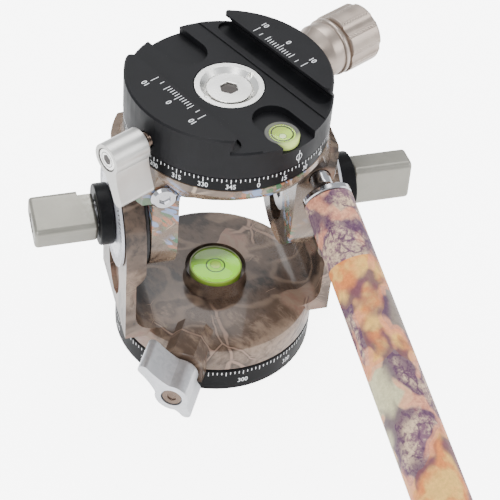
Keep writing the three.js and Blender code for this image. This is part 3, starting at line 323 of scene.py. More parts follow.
def woodlandGroup(spec):
    # generic woodland: blurred bark, soft limbs, thin crossing twigs, a few patches and long blades; the cool
    # blades are partly a painted sky-blue sheen
    inputs = {"Vector": "Vector", "Blades": "Float", **{label: "Color" for label in spec["colours"]}}
    group, given, result = newGroup("woodland", inputs, {"Color": "Color"})
    bent = warped(group, given["Vector"], *spec["bend"])
    wavy = warped(group, given["Vector"], *spec["wave"])
    broad = noiseAt(group, bent, *spec["broad"])
    drawnOut = stretched(group, bent, spec["streakTurn"], spec["streakStretch"])
    streaks = noiseAt(group, drawnOut, *spec["streaks"])
    tone = blended(group, broad, streaks, spec["broadShare"])
    shown = mixColour(group, remap(group, tone, *spec["midTones"]), given["Dark"], given["Mid"])
    shown = layered(group, shown, remap(group, tone, *spec["lightTones"]), given["Light"])
    limbs = noiseAt(group, stretched(group, wavy, spec["limbTurn"], spec["limbStretch"]), *spec["limbs"])
    away = mathNode(group, "ABSOLUTE", mathNode(group, "SUBTRACT", limbs, 0.5))
    shown = layered(group, shown, remap(group, away, *spec["limbEdge"]), given["Light"], spec["limbWeight"])
    distance, picks = cellsAt(group, bent, spec["patchScale"])
    chosen = mathNode(group, "LESS_THAN", picks[0], spec["patchShare"])
    patch = mathNode(group, "MULTIPLY", remap(group, distance, *spec["patchEdge"]), chosen)
    patchTone = mixColour(group, remap(group, streaks, *spec["patchTones"]), given["Patch"], given["Light"])
    shown = layered(group, shown, patch, patchTone, spec["patchWeight"])
    for scale, width, cover in spec["twigs"]:
        shade = brokenBorders(group, wavy, scale, width * spec["shadeWidth"], cover)
        shown = layered(group, shown, shade, given["Dark"], spec["shadeWeight"])
        line = brokenBorders(group, wavy, scale, width, cover)
        shown = layered(group, shown, line, given["Twig"], spec["twigWeight"])
    blades = stretched(group, wavy, spec["bladeTurn"], spec["bladeStretch"])
    distance, picks = cellsAt(group, blades, spec["bladeScale"])
    zone = remap(group, noiseAt(group, given["Vector"], *spec["zones"]), *spec["zoneEdge"])
    blade = mathNode(group, "MULTIPLY", remap(group, distance, *spec["bladeEdge"]), zone)
    isWarm = mathNode(group, "GREATER_THAN", picks[0], spec["warmFrom"])
    isLeaf = mathNode(group, "GREATER_THAN", picks[0], spec["leafFrom"])
    # painted reflection in part: the cool blade tone puts a sky-blue sheen into the colour, beside the
    # print's warm and leafy blades
    tint = mixColour(group, isWarm, given["CoolSheen"], given["Warm"])
    tint = mixColour(group, isLeaf, tint, given["Leaf"])
    tint = layered(group, tint, picks[1], given["Light"], spec["paleShare"])
    shown = layered(group, shown, blade, tint, given["Blades"])
    group.links.new(shown, result["Color"])
    return group


barkSpec = {
    "colours": ("Bark", "Cream", "Shadow", "Leaf", "Gold", "Stone", "Rim"),
    "bend": (95.0, 0.009), "fine": (900.0, 8.0, 0.75), "soft": (110.0, 4.0, 0.6), "fineShare": 0.55,
    "barkTones": (0.43, 0.57), "crackBend": (400.0, 0.0025), "cracks": (210.0, 0.09, 0.46),
    "crackWeight": 0.75, "leafTurn": (0.3, 0, 0), "leafStretch": (1, 0.75, 0.6), "leafScale": 75.0,
    "leafNoise": (160.0, 3.0),
    "leafTones": (0.4, 0.62), "leafFrom": 0.36, "stoneFrom": 0.72, "shadeFrom": 0.88, "shadeWeight": 0.7,
    "sides": (130.0, 1.0), "sideEdge": (0.44, 0.54), "shadow": (0.17, 0.03), "shadowWeight": 0.85,
    "rim": (0.09, 0.05), "rimWeight": 0.7, "weave": (0.3, 0.7, 0.82, 1.16),
}


def barkPrintGroup(spec):
    # generic forest floor: mottled bark, overlapping leaves with deep shadows, and pale stone
    inputs = {"Vector": "Vector", "Leafy": "Float", **{label: "Color" for label in spec["colours"]}}
    group, given, result = newGroup("barkPrint", inputs, {"Color": "Color"})
    bent = warped(group, given["Vector"], *spec["bend"])
    fine = noiseAt(group, given["Vector"], *spec["fine"])
    mottle = blended(group, fine, noiseAt(group, bent, *spec["soft"]), spec["fineShare"])
    bark = mixColour(group, remap(group, mottle, *spec["barkTones"]), given["Bark"], given["Cream"])
    cracks = brokenBorders(group, warped(group, given["Vector"], *spec["crackBend"]), *spec["cracks"])
    bark = layered(group, bark, cracks, given["Shadow"], spec["crackWeight"])
    leaves = stretched(group, bent, spec["leafTurn"], spec["leafStretch"])
    pick = mathNode(group, "MULTIPLY", cellsAt(group, leaves, spec["leafScale"])[1][0], given["Leafy"])
    leafTone = remap(group, noiseAt(group, bent, *spec["leafNoise"]), *spec["leafTones"])
    starts = (spec[label] for label in ("leafFrom", "stoneFrom", "shadeFrom"))
    isLeaf, isStone, isShade = (mathNode(group, "GREATER_THAN", pick, start) for start in starts)
    shown = mixColour(group, isLeaf, bark, mixColour(group, leafTone, given["Leaf"], given["Gold"]))
    shown = mixColour(group, isStone, shown, given["Stone"])
    shown = layered(group, shown, isShade, given["Shadow"], spec["shadeWeight"])
    border = borderOf(group, leaves, spec["leafScale"])
    side = remap(group, noiseAt(group, given["Vector"], *spec["sides"]), *spec["sideEdge"])
    shadow = mathNode(group, "MULTIPLY", remap(group, border, *spec["shadow"]), side)
    shown = layered(group, shown, shadow, given["Shadow"], spec["shadowWeight"])
    otherSide = mathNode(group, "SUBTRACT", 1.0, side)
    rim = mathNode(group, "MULTIPLY", remap(group, border, *spec["rim"]), otherSide)
    shown = layered(group, shown, rim, given["Rim"], spec["rimWeight"])
    shown = mixColour(group, 1.0, shown, remap(group, fine, *spec["weave"]), "MULTIPLY")
    group.links.new(shown, result["Color"])
    return group


groups = {
    "grain": grainGroup(grainSpec), "turned": turnedGroup(), "wear": wearGroup(wearSpec),
    "woodland": woodlandGroup(woodlandSpec), "barkPrint": barkPrintGroup(barkSpec),
}
print("shared effects ready")


# Finishes
def colour(red, green, blue):
    return (red, green, blue, 1)


def startMaterial(name, **sockets):
    material = bpy.data.materials.new(name)
    material.use_nodes = True
    tree = material.node_tree
    shader = tree.nodes["Principled BSDF"]
    for label, value in sockets.items():
        shader.inputs[label.replace("_", " ")].default_value = value
    place = addNode(tree, "ShaderNodeTexCoord").outputs["Object"]
    return material, tree, shader, place


def useGroup(tree, name, vector, **values):
    made = tree.nodes.new("ShaderNodeGroup")
    made.node_tree = groups[name]
    tree.links.new(vector, made.inputs["Vector"])
    for label, value in values.items():
        made.inputs[label].default_value = value
    return made


def bumped(tree, shader, height, strength, depth=0.03):
    bump = addNode(tree, "ShaderNodeBump", {"Height": height, "Strength": strength, "Distance": depth * mm})
    tree.links.new(bump.outputs[0], shader.inputs["Normal"])


grainTones = (0.3, 0.7)
metalDefaults = {
    "metallic": 1.0, "specular": 0.5, "roughness": 0.3, "spread": 0.08, "roughTones": (0.25, 0.75),
    "grain": 5000.0, "grainShare": 0.35, "wear": 0.3, "bump": 0.15,
}


def metalFinish(name, dark, light, family, own):
    spec = {**metalDefaults, "worn": light, **family, **own}
    rough, spread = spec["roughness"], spec["spread"]
    material, tree, shader, place = startMaterial(
        name, Metallic=spec["metallic"], Roughness=rough, Specular_IOR_Level=spec["specular"])
    grain = useGroup(tree, "grain", place, Scale=spec["grain"]).outputs
    tone = remap(tree, grain["Tone"], *grainTones)
    shown = mixColour(tree, tone, colour(*dark), colour(*light))
    height = grain["Height"]
    if "rings" in spec:
        rings = useGroup(tree, "turned", place, Pitch=spec["rings"]).outputs["Height"]
        height = blended(tree, height, rings, spec["grainShare"])
    wear = useGroup(tree, "wear", place, Amount=spec["wear"]).outputs["Mask"]
    tree.links.new(mixColour(tree, wear, shown, colour(*spec["worn"])), shader.inputs["Base Color"])
    roughness = remap(tree, grain["Tone"], *spec["roughTones"], rough - spread, rough + spread)
    tree.links.new(roughness, shader.inputs["Roughness"])
    bumped(tree, shader, height, spec["bump"])
    return material


black = {"metallic": 0.0, "grain": 9000.0, "wear": 0.0}
alloy = {"metallic": 0.85, "grain": 8000.0, "bump": 0.18}
# a darker and a lighter tone, the family, and the finish's own values
metalSpecs = {
    "blackAnodised": ((0.0065, 0.0065, 0.0075), (0.011, 0.011, 0.0125), black, {
        "roughness": 0.46, "bump": 0.08, "specular": 0.13}),
    "blackRing": ((0.004, 0.004, 0.0045), (0.008, 0.008, 0.009), black, {
        "roughness": 0.42, "bump": 0.06, "specular": 0.09}),
    # painted highlight: the bevel faces of the black anodised parts get this lighter colour, as if the
    # chamfers caught the light
    "paintedEdgeHighlight": ((0.05, 0.05, 0.056), (0.09, 0.09, 0.1), black, {"bump": 0.05}),
    "satinAlloy": ((0.5, 0.49, 0.47), (0.6, 0.59, 0.57), alloy, {
        "roughness": 0.38, "worn": (0.8, 0.8, 0.78)}),
    "coolAlloy": ((0.52, 0.53, 0.55), (0.62, 0.63, 0.66), alloy, {
        "roughness": 0.36, "worn": (0.82, 0.82, 0.84)}),
    "tiltAlloy": ((0.23, 0.222, 0.19), (0.29, 0.28, 0.245), alloy, {
        "metallic": 0.8, "roughness": 0.42, "worn": (0.7, 0.69, 0.62), "wear": 0.5, "bump": 0.2}),
    "knobAlloy": ((0.32, 0.26, 0.22), (0.42, 0.355, 0.305), alloy, {
        "roughness": 0.36, "worn": (0.72, 0.68, 0.63), "bump": 0.15}),
    "nickel": ((0.86, 0.85, 0.82), (0.96, 0.95, 0.92), {}, {
        "roughness": 0.26, "grain": 4000.0, "rings": 5000.0}),
    "steel": ((0.35, 0.35, 0.36), (0.55, 0.55, 0.56), {}, {"roughness": 0.32, "bump": 0.2}),
    "brass": ((0.5, 0.34, 0.13), (0.65, 0.47, 0.2), {}, {}),
    "copperWasher": ((0.6, 0.46, 0.38), (0.75, 0.6, 0.52), {}, {}),
    "bronzeScrew": ((0.14, 0.1, 0.08), (0.24, 0.18, 0.14), {}, {}),
    "darkChrome": ((0.4, 0.4, 0.42), (0.52, 0.52, 0.54), {}, {
        "roughness": 0.12, "grain": 3000.0, "spread": 0.04, "bump": 0.05}),
    "polymer": ((0.01, 0.01, 0.011), (0.02, 0.02, 0.022), {}, {
        "metallic": 0.0, "roughness": 0.6, "bump": 0.3, "wear": 0.1, "worn": (0.05, 0.05, 0.05)}),
    "dialFace": ((0.6, 0.61, 0.66), (0.72, 0.73, 0.78), {}, {"metallic": 0.5, "grain": 6000.0, "bump": 0.1}),
}


def printedFinish(name, spec):
    material, tree, shader, place = startMaterial(
        name, Metallic=0.0, Coat_Weight=spec["coat"], Coat_Roughness=spec["coatRoughness"], Coat_IOR=1.5,
        Specular_IOR_Level=spec["specular"])
    pattern = useGroup(tree, spec["pattern"], turned(tree, place, spec["turn"]), **spec["values"])
    for label, value in spec["colours"].items():
        pattern.inputs[label].default_value = colour(*value)
    if "leafyFrom" in spec:
        down = vectorNode(tree, "DOT_PRODUCT", place, outOf(handleFrame), "Value")
        low, high = spec["leafyFrom"]
        tree.links.new(remap(tree, down, low * mm, high * mm), pattern.inputs["Leafy"])
    tree.links.new(pattern.outputs["Color"], shader.inputs["Base Color"])
    grain = useGroup(tree, "grain", place, Scale=spec["grain"]).outputs["Tone"]
    tree.links.new(remap(tree, grain, *grainTones, *spec["roughness"]), shader.inputs["Roughness"])
    bumped(tree, shader, grain, spec["bump"])
    return material


yokeColours = {
    "Dark": (0.018, 0.011, 0.008), "Mid": (0.088, 0.058, 0.041), "Light": (0.25, 0.178, 0.13),
    "Twig": (0.3, 0.2, 0.15), "Patch": (0.24, 0.14, 0.105),
}
# the cool tone is partly a painted sky-blue sheen, partly the print's own blades
saddleColours = {
    "Dark": (0.03, 0.02, 0.015), "Mid": (0.15, 0.105, 0.075), "Light": (0.3, 0.22, 0.15),
    "Twig": (0.5, 0.37, 0.27), "Patch": (0.33, 0.19, 0.13), "CoolSheen": (0.2, 0.29, 0.5),
    "Leaf": (0.035, 0.13, 0.065), "Warm": (0.36, 0.12, 0.055),
}
gripColours = {
    "Bark": (0.17, 0.08, 0.12), "Cream": (0.56, 0.41, 0.27), "Shadow": (0.07, 0.025, 0.07),
    "Leaf": (0.62, 0.19, 0.045), "Gold": (0.72, 0.42, 0.1), "Stone": (0.54, 0.5, 0.3),
    "Rim": (0.7, 0.27, 0.15),
}
printSpecs = {
    "yokeLacquer": {
        "pattern": "woodland", "values": {"Blades": 0.0}, "colours": yokeColours, "turn": (0.3, 0.2, 0.9),
        "grain": 2500.0, "specular": 0.3, "roughness": (0.25, 0.38), "coat": 0.25, "coatRoughness": 0.08,
        "bump": 0.06,
    },
    "saddleLacquer": {
        "pattern": "woodland", "values": {"Blades": 1.0}, "colours": saddleColours, "turn": (0.1, 0.5, 0.2),
        "grain": 2500.0, "specular": 0.35, "roughness": (0.2, 0.32), "coat": 0.35, "coatRoughness": 0.05,
        "bump": 0.06,
    },
    "gripSleeve": {
        "pattern": "barkPrint", "values": {}, "colours": gripColours, "turn": (0.2, 0.1, 0.4),
        "grain": 3500.0, "specular": 0.35, "roughness": (0.5, 0.62), "coat": 0.08, "coatRoughness": 0.4,
        "bump": 0.3, "leafyFrom": (21, 27),
    },
}


liquidSpec = {"roughness": 0.2, "specular": 0.2, "cloud": (160.0, 1.0), "cloudShare": 0.2}


def liquidFinish(name, towards, deep, bright, glow, span):
    # clear dyed liquid with painted light: brighter towards one side where the light gathers, and glowing by
    # its own emission
    spec = liquidSpec
    material, tree, shader, place = startMaterial(
        name, Roughness=spec["roughness"], Specular_IOR_Level=spec["specular"])
    low, high = span
    side = remap(tree, vectorNode(tree, "DOT_PRODUCT", place, towards, "Value"), low * mm, high * mm)
    cloud = mathNode(tree, "SUBTRACT", noiseAt(tree, place, *spec["cloud"]), 0.5)
    tone = mathNode(tree, "ADD", side, mathNode(tree, "MULTIPLY", cloud, spec["cloudShare"]))
    shown = mixColour(tree, tone, colour(*deep), colour(*bright))
    tree.links.new(shown, shader.inputs["Base Color"])
    tree.links.new(shown, shader.inputs["Emission Color"])
    shader.inputs["Emission Strength"].default_value = glow
    return material


# the side where the light gathers, then the deep and bright tones, the glow and the span in mm
liquidSides = {"base": (0.1, -1, 0), "clamp": (0.4, -0.9, 0)}
liquidSpecs = {
    "base": {
        "Liquid": ((0.06, 0.12, 0.0), (0.3, 0.75, 0.0), 0.7, (-5, 1)),
        "Rim": ((0.16, 0.17, 0.1), (0.26, 0.4, 0.05), 0.1, (-6, 7)),
        "Bubble": ((0.35, 0.6, 0.05), (0.6, 0.85, 0.15), 0.3, (-2, 2)),
    },
    "clamp": {
        "Liquid": ((0.34, 0.46, 0.06), (0.5, 0.75, 0.08), 0.3, (21, 25)),
        "Rim": ((0.1, 0.1, 0.09), (0.6, 0.75, 0.2), 0.1, (25, 28.5)),
        "Bubble": ((0.6, 0.75, 0.35), (0.8, 0.95, 0.5), 0.3, (22, 25)),
    },
}
glassSpec = {"tint": (0.97, 1, 0.94), "grain": 400.0, "bump": 0.02, "depth": 0.02}
paintSpec = {"roughness": 0.5, "grain": 5000.0, "dim": 0.8, "bump": 0.1, "depth": 0.02}


def glassFinish(name, spec):
    material, tree, shader, place = startMaterial(
        name, Roughness=0.02, IOR=1.25, Specular_IOR_Level=0.2, Transmission_Weight=1.0)
    grain = useGroup(tree, "grain", place, Scale=spec["grain"]).outputs["Tone"]
    shown = mixColour(tree, grain, colour(*spec["tint"]), colour(1, 1, 1))
    tree.links.new(shown, shader.inputs["Base Color"])
    bumped(tree, shader, grain, spec["bump"], spec["depth"])
    return material


def paintFinish(name, tone, spec):
    material, tree, shader, place = startMaterial(name, Roughness=spec["roughness"])
    grain = useGroup(tree, "grain", place, Scale=spec["grain"]).outputs
    dim = tuple(c * spec["dim"] for c in tone)
    tree.links.new(mixColour(tree, grain["Tone"], colour(*dim), colour(*tone)), shader.inputs["Base Color"])
    bumped(tree, shader, grain["Height"], spec["bump"], spec["depth"])
    return material


paintTones = {
    "whitePaint": (0.9, 0.91, 0.93), "darkPaint": (0.02, 0.02, 0.022),
    "socketShade": (0.03, 0.022, 0.018), "greenPaint": (0.02, 0.06, 0.0),
}
finishes = {name: metalFinish(name, *values) for name, values in metalSpecs.items()}
finishes.update({name: printedFinish(name, spec) for name, spec in printSpecs.items()})
finishes.update({name: paintFinish(name, tone, paintSpec) for name, tone in paintTones.items()})
for level, parts in liquidSpecs.items():
    for part, values in parts.items():
        finishes[level + part] = liquidFinish(level + part, liquidSides[level], *values)
finishes["levelLens"] = glassFinish("levelLens", glassSpec)
print("finishes ready,", len(finishes))


# Putting pieces in place
def newPiece(name, bm, finish, node, matrix=None, smooth=32):
    # rides with the solid's body, and stands in for the solid if it is named as its dress
    if matrix is not None:
        bmesh.ops.transform(bm, matrix=matrix, verts=bm.verts)
    mesh = bpy.data.meshes.new(name)
    bm.to_mesh(mesh)
    bm.free()
    mesh.polygons.foreach_set("use_smooth", [True] * len(mesh.polygons))
    mesh.set_sharp_from_angle(angle=math.radians(smooth))
    mesh.materials.append(finishes[finish])
    piece = bpy.data.objects.new(name, mesh)
    bpy.context.scene.collection.objects.link(piece)
    body, slot = bodyOf[node], slotOf[node]
    replaced = [node] if name == node + "_dress" else []
    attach(piece, body)
    if replaced:
        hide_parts(*replaced)
    return piece


def flattened(piece, keepSharp=True):
    smooth = piece.modifiers.new("flatFaces", "WEIGHTED_NORMAL")
    smooth.mode = "FACE_AREA_WITH_ANGLE"
    smooth.keep_sharp = keepSharp


bevelAngle = 30


def softBevel(piece, width, segments):
    bevel = piece.modifiers.new("softEdges", "BEVEL")
    bevel.width = width * mm
    bevel.segments = segments
    bevel.limit_method = "ANGLE"
    bevel.angle_limit = math.radians(bevelAngle)
    bevel.miter_outer = "MITER_ARC"
    flattened(piece, False)
    return bevel


def spun(profile, sides, closed=False):
    # a profile of (radius, height) in mm, turned about Z
    bm = bmesh.new()
    points = profile if closed else [(0, profile[0][1])] + profile + [(0, profile[-1][1])]
    verts = [bm.verts.new((radius * mm, 0, height * mm)) for radius, height in points]
    edges = [bm.edges.new(pair) for pair in zip(verts, verts[1:])]
    if closed:
        edges.append(bm.edges.new((verts[-1], verts[0])))
    bmesh.ops.spin(bm, geom=verts + edges, cent=(0, 0, 0), axis=(0, 0, 1), angle=math.tau, steps=sides,
                   use_merge=True)
    bmesh.ops.remove_doubles(bm, verts=bm.verts, dist=1e-7)
    bmesh.ops.recalc_face_normals(bm, faces=bm.faces)
    return bm


def pulledIn(bm, reachAt):
    # moves each point out or in, by its radius, height and angle
    for vert in bm.verts:
        reach = math.hypot(vert.co.x, vert.co.y) / mm
        if reach > 0.001:
            angle = math.atan2(vert.co.y, vert.co.x)
            share = reachAt(reach, vert.co.z / mm, angle) / reach
            vert.co.x *= share
            vert.co.y *= share


def turnedPiece(name, profile, finish, node, matrix=None, sides=96, reachAt=None, smooth=32, closed=False):
    bm = spun(profile, sides, closed)
    if reachAt:
        pulledIn(bm, reachAt)
    newPiece(name, bm, finish, node, matrix, smooth)


def flatRing(name, radii, heights, finish, node, matrix):
    near, far = radii
    low, high = heights
    profile = [(near, low), (near, high), (far, high), (far, low)]
    turnedPiece(name, profile, finish, node, matrix, closed=True)


copySpec = {"merge": 0.002, "flat": 0.6}


def copyOfSolid(node, spec, kept=0):
    # flat faces made whole again, but for those within a radius of the middle
    bm = bmesh.new()
    bm.from_mesh(frame["nodes"][node].data)
    bmesh.ops.remove_doubles(bm, verts=bm.verts, dist=spec["merge"] * mm)
    verts = [vert for vert in bm.verts if math.hypot(vert.co.x, vert.co.y) > kept * mm]
    far = set(verts)
    edges = [edge for edge in bm.edges if far.issuperset(edge.verts)]
    bmesh.ops.dissolve_limit(bm, angle_limit=math.radians(spec["flat"]), verts=verts, edges=edges)
    return bm


levelBoss = {"seat": 8.4, "outside": 15, "shown": 9.5, "foot": 10.1, "height": 5.8, "near": 0.3, "over": 0.1}


def slimBoss(bm, spec):
    # the boss under the base level, its wall close around the level
    top = sizeOf("base_level_lens")["high"] * mm
    floor = top - spec["height"] * mm
    near = spec["near"] * mm
    for vert in bm.verts:
        reach = math.hypot(vert.co.x, vert.co.y) / mm
        if floor - near < vert.co.z < top + spec["over"] * mm and spec["seat"] < reach < spec["outside"]:
            share = (spec["foot"] if vert.co.z < floor + near else spec["shown"]) / reach
            vert.co.x *= share
            vert.co.y *= share


# painted highlight: the bevels of these finishes take a lighter second finish, standing in for light caught
# on the chamfers
edgeHighlightFinishes = {"blackAnodised": "paintedEdgeHighlight"}


def dressed(node, finish, width, segments):
    if node == "yoke":
        bm = copyOfSolid(node, copySpec, levelBoss["outside"])
        slimBoss(bm, levelBoss)
    else:
        bm = copyOfSolid(node, copySpec)
    piece = newPiece(node + "_dress", bm, finish, node)
    bevel = softBevel(piece, width, segments)
    if finish in edgeHighlightFinishes:
        piece.data.materials.append(finishes[edgeHighlightFinishes[finish]])
        bevel.material = 1


# finish, width of the soft edge in mm, and its segments
dressSpecs = {
    "yoke": ("yokeLacquer", 0.55, 3), "saddle": ("saddleLacquer", 0.5, 3),
    "base_ring": ("blackRing", 0.15, 2), "clamp_scale_ring": ("blackRing", 0.12, 2),
    "clamp_body": ("blackAnodised", 0.2, 2), "moving_jaw": ("blackAnodised", 0.2, 2),
    "left_tilt_boss": ("blackRing", 0.6, 3), "right_tilt_boss": ("blackRing", 0.6, 3),
    "lower_lock_knob": ("coolAlloy", 0.45, 3), "upper_lock_knob": ("satinAlloy", 0.4, 3),
    "centre_insert": ("nickel", 0.2, 2), "centre_screw": ("nickel", 0.2, 2),
    "blanking_plug": ("darkChrome", 0.35, 3),
    "handle_grip": ("gripSleeve", 0.25, 2), "handle_end_cap": ("polymer", 0.3, 2),
    "lower_lock_cap": ("bronzeScrew", 0.15, 2), "upper_lock_cap": ("nickel", 0.15, 2),
    "left_knob_cap": ("steel", 0.1, 2), "right_knob_cap": ("steel", 0.1, 2),
    "jaw_knob_cap": ("steel", 0.1, 2), "jaw_knob_washer": ("copperWasher", 0.08, 2),
}
for node, (finish, width, segments) in dressSpecs.items():
    dressed(node, finish, width, segments)

plainNodes = {
    "steel": (
        "pan_pivot_screw", "left_tilt_axle", "right_tilt_axle", "left_spring_washer", "right_spring_washer",
        "clamp_pan_hub", "handle_rod", "left_guide_pin", "right_guide_pin", "left_jaw_spring",
        "right_jaw_spring", "jaw_screw"),
    "brass": ("base_thread_bush", "left_axle_bush", "right_axle_bush", "lower_lock_pad", "upper_lock_pad"),
    "polymer": ("pan_thrust_washer", "pan_pivot_washer", "left_friction_washer", "right_friction_washer"),
    "dialFace": ("tilt_dial", "right_cover_plate"),
}
for finish, nodes in plainNodes.items():
    for node in nodes:
        cad = frame["nodes"][node]
        cad.data.materials.clear()
        cad.data.materials.append(finishes[finish])
print("solids dressed")


# Knobs that need their own meshes
jawKnobSpec = {
    "sides": 408, "rowStep": 0.14, "diamonds": 51, "diamondLength": 1.1, "knurlDepth": 0.2, "knurlFade": 0.35,
    "flutes": 6, "fluteRadius": 3.2, "fluteBite": 0.7, "fluteSlope": 3, "bell": 3.9, "flange": 7.7,
    "groove": 9.0, "grip": 10.1, "bore": 3.2, "cone": (7.3, 2.2), "lip": (0.25, 0.6), "crown": (0.4, 0.3),
    "radii": {"skirt": 6.2, "bell": 8.3, "waist": 8.1, "flange": 8.7, "groove": 7.7},
    "edge": 0.9, "recess": 4.5, "recessDepth": 1.2, "soft": 0.2, "smooth": 50,
}


def makeJawKnob(spec):
    span = sizeOf("jaw_knob", jawKnobFrame)
    low, high, radius = span["low"], span["high"], span["radius"]
    radii, soft = spec["radii"], spec["soft"]
    bell, flange, groove, gripLow = (low + spec[label] for label in ("bell", "flange", "groove", "grip"))
    gripHigh = high - spec["edge"]
    fluteMiddle = radius + spec["fluteRadius"] - spec["fluteBite"]

    def knurled(reach, height, angle):
        if height < gripLow - soft or reach < spec["recess"] + soft:
            return reach
        part = math.tau / spec["flutes"]
        turn = (angle + part / 2) % part - part / 2
        inside = spec["fluteRadius"] ** 2 - (fluteMiddle * math.sin(turn)) ** 2
        flute = fluteMiddle * math.cos(turn) - math.sqrt(inside) if inside > 0 else radius
        if flute < reach:
            return flute
        fluteEdge = (flute - reach) * spec["fluteSlope"] + spec["knurlFade"]
        edge = min(height - gripLow, gripHigh - height, fluteEdge)
        depth = spec["knurlDepth"] * max(0, min(1, edge / spec["knurlFade"]))
        around = angle * spec["diamonds"] / math.tau
        along = (height - gripLow) / spec["diamondLength"]
        ridges = [abs((value % 1) - 0.5) * 2 for value in (around + along, around - along)]
        return reach - depth * max(ridges)

    coneRadius, coneHeight = spec["cone"]
    lipIn, lipDown = spec["lip"]
    crownIn, crownDown = (share * spec["edge"] for share in spec["crown"])
    profile = [
        (spec["bore"], low), (radii["skirt"], low), (radii["skirt"] + soft, low + soft),
        (coneRadius, low + coneHeight), (radii["bell"] - lipIn, bell - lipDown), (radii["bell"], bell),
        (radii["waist"], flange - soft), (radii["flange"] - soft, flange), (radii["flange"], flange + soft),
        (radii["flange"], groove - soft), (radii["flange"] - soft, groove), (radii["groove"], groove + soft),
        (radii["groove"], gripLow - soft), (radius - soft, gripLow),
    ]
    rows = int((gripHigh - gripLow) / spec["rowStep"])
    profile += [(radius, gripLow + soft + i * (gripHigh - gripLow - soft) / rows) for i in range(rows + 1)]
    profile += [
        (radius - crownIn, high - crownDown), (radius - spec["edge"], high),
        (spec["recess"], high), (spec["recess"], high - spec["recessDepth"]),
    ]
    turnedPiece("jaw_knob_dress", profile, "knobAlloy", "jaw_knob", jawKnobFrame, spec["sides"], knurled,
                spec["smooth"])


tiltKnobSpec = {
    "height": 13.6, "depth": 8.8, "corner": 1.9, "cornerSteps": 8, "bevel": 1.1, "bevelSteps": 5,
    "recess": 3.15, "recessSides": 48, "recessDepth": 1.2, "reliefLength": 4.4, "reliefEdge": 0.12,
    "left": {"side": -1, "turn": 73, "relief": 2}, "right": {"side": 1, "turn": -5, "relief": 0},
    "smooth": 40,
}


def roundedEdges(bm, edges, width, steps):
    bmesh.ops.bevel(bm, geom=edges, offset=width * mm, segments=steps, profile=0.5, affect="EDGES",
                    material=-1)


def makeTiltKnob(name, spec):
    own = spec[name]
    node = name + "_tilt_knob"
    outward = Matrix.Rotation(own["side"] * math.pi / 2, 4, "Y")
    turn = Matrix.Rotation(math.radians(own["turn"]), 4, "Z")
    place = Matrix.Translation((0, 0, tiltHeight * mm)) @ outward @ turn
    span = sizeOf(node, place)
    low, high = span["low"] * mm, span["high"] * mm
    bm = bmesh.new()
    block = Matrix.Translation((0, 0, (low + high) / 2))
    block @= Matrix.Diagonal((spec["height"] * mm, spec["depth"] * mm, high - low, 1))
    bmesh.ops.create_cube(bm, size=1, matrix=block)
    longEdges = [edge for edge in bm.edges if abs(edge.verts[0].co.z - edge.verts[1].co.z) > mm]
    roundedEdges(bm, longEdges, spec["corner"], spec["cornerSteps"])
    rims = [edge for edge in bm.edges if abs(edge.verts[0].co.z - edge.verts[1].co.z) < 0.001 * mm]
    roundedEdges(bm, rims, spec["bevel"], spec["bevelSteps"])
    end = max(bm.faces, key=lambda face: face.calc_center_median().z)
    bmesh.ops.delete(bm, geom=[end], context="FACES_ONLY")
    rim = [edge for edge in bm.edges if edge.is_boundary]
    hole = bmesh.ops.create_circle(bm, radius=spec["recess"] * mm, segments=spec["recessSides"],
                                   matrix=Matrix.Translation((0, 0, high)))
    holeEdges = list({edge for vert in hole["verts"] for edge in vert.link_edges})
    bmesh.ops.bridge_loops(bm, edges=rim + holeEdges)
    sunk = bmesh.ops.extrude_edge_only(bm, edges=holeEdges)["geom"]
    sunkVerts = [item for item in sunk if isinstance(item, bmesh.types.BMVert)]
    bmesh.ops.translate(bm, vec=(0, 0, -spec["recessDepth"] * mm), verts=sunkVerts)
    bmesh.ops.holes_fill(bm, edges=[edge for edge in bm.edges if edge.is_boundary])
    if own["relief"]:
        # a flat cut into one side, up to the relief's end
        reliefEnd = low + spec["reliefLength"] * mm
        for height in (reliefEnd, reliefEnd + spec["reliefEdge"] * mm):
            bmesh.ops.bisect_plane(bm, geom=bm.verts[:] + bm.edges[:] + bm.faces[:], plane_co=(0, 0, height),
                                   plane_no=(0, 0, 1))
        flat = (spec["height"] / 2 - own["relief"]) * mm
        for vert in bm.verts:
            if vert.co.z < reliefEnd + 0.01 * mm:
                vert.co.x = min(vert.co.x, flat)
    bmesh.ops.recalc_face_normals(bm, faces=bm.faces)
    flattened(newPiece(node + "_dress", bm, "tiltAlloy", node, place, spec["smooth"]))


threadSpec = {"pitch": 0.7, "depth": 0.28, "sides": 48, "step": 0.1, "core": 1, "smooth": 60}


def makeThreadedStud(node, matrix, spec):
    span = sizeOf(node, matrix)
    low, length = span["low"], span["high"] - span["low"]

    def thread(reach, height, angle):
        turn = (height / spec["pitch"] + angle / math.tau) % 1
        return reach - spec["depth"] * abs(turn * 2 - 1) if reach > spec["core"] else reach

    rows = int(length / spec["step"])
    profile = [(span["radius"], low + length * i / rows) for i in range(rows + 1)]
    turnedPiece(node + "_dress", profile, "bronzeScrew", node, matrix, spec["sides"], thread, spec["smooth"])


handleNeckSpec = {
    "seat": 3.0, "collar": 7.1, "flare": 3.9, "curve": 3.2, "collarLength": 1.9, "steps": 16, "soft": 0.35,
}


def makeHandleNeck(spec):
    span = sizeOf("handle_neck", handleFrame)
    high, seat, collar, soft = span["high"], spec["seat"], spec["collar"], spec["soft"]
    collarLow = high - spec["collarLength"]
    flareLow = collarLow - spec["flare"]
    profile = [(seat, span["low"]), (seat, flareLow)]
    for i in range(1, spec["steps"] + 1):
        share = i / spec["steps"]
        radius = seat + (collar - soft - seat) * share ** spec["curve"]
        profile.append((radius, flareLow + spec["flare"] * share))
    profile += [(collar, collarLow + soft), (collar, high - soft), (collar - soft, high)]
    turnedPiece("handle_neck_dress", profile, "darkChrome", "handle_neck", handleFrame)


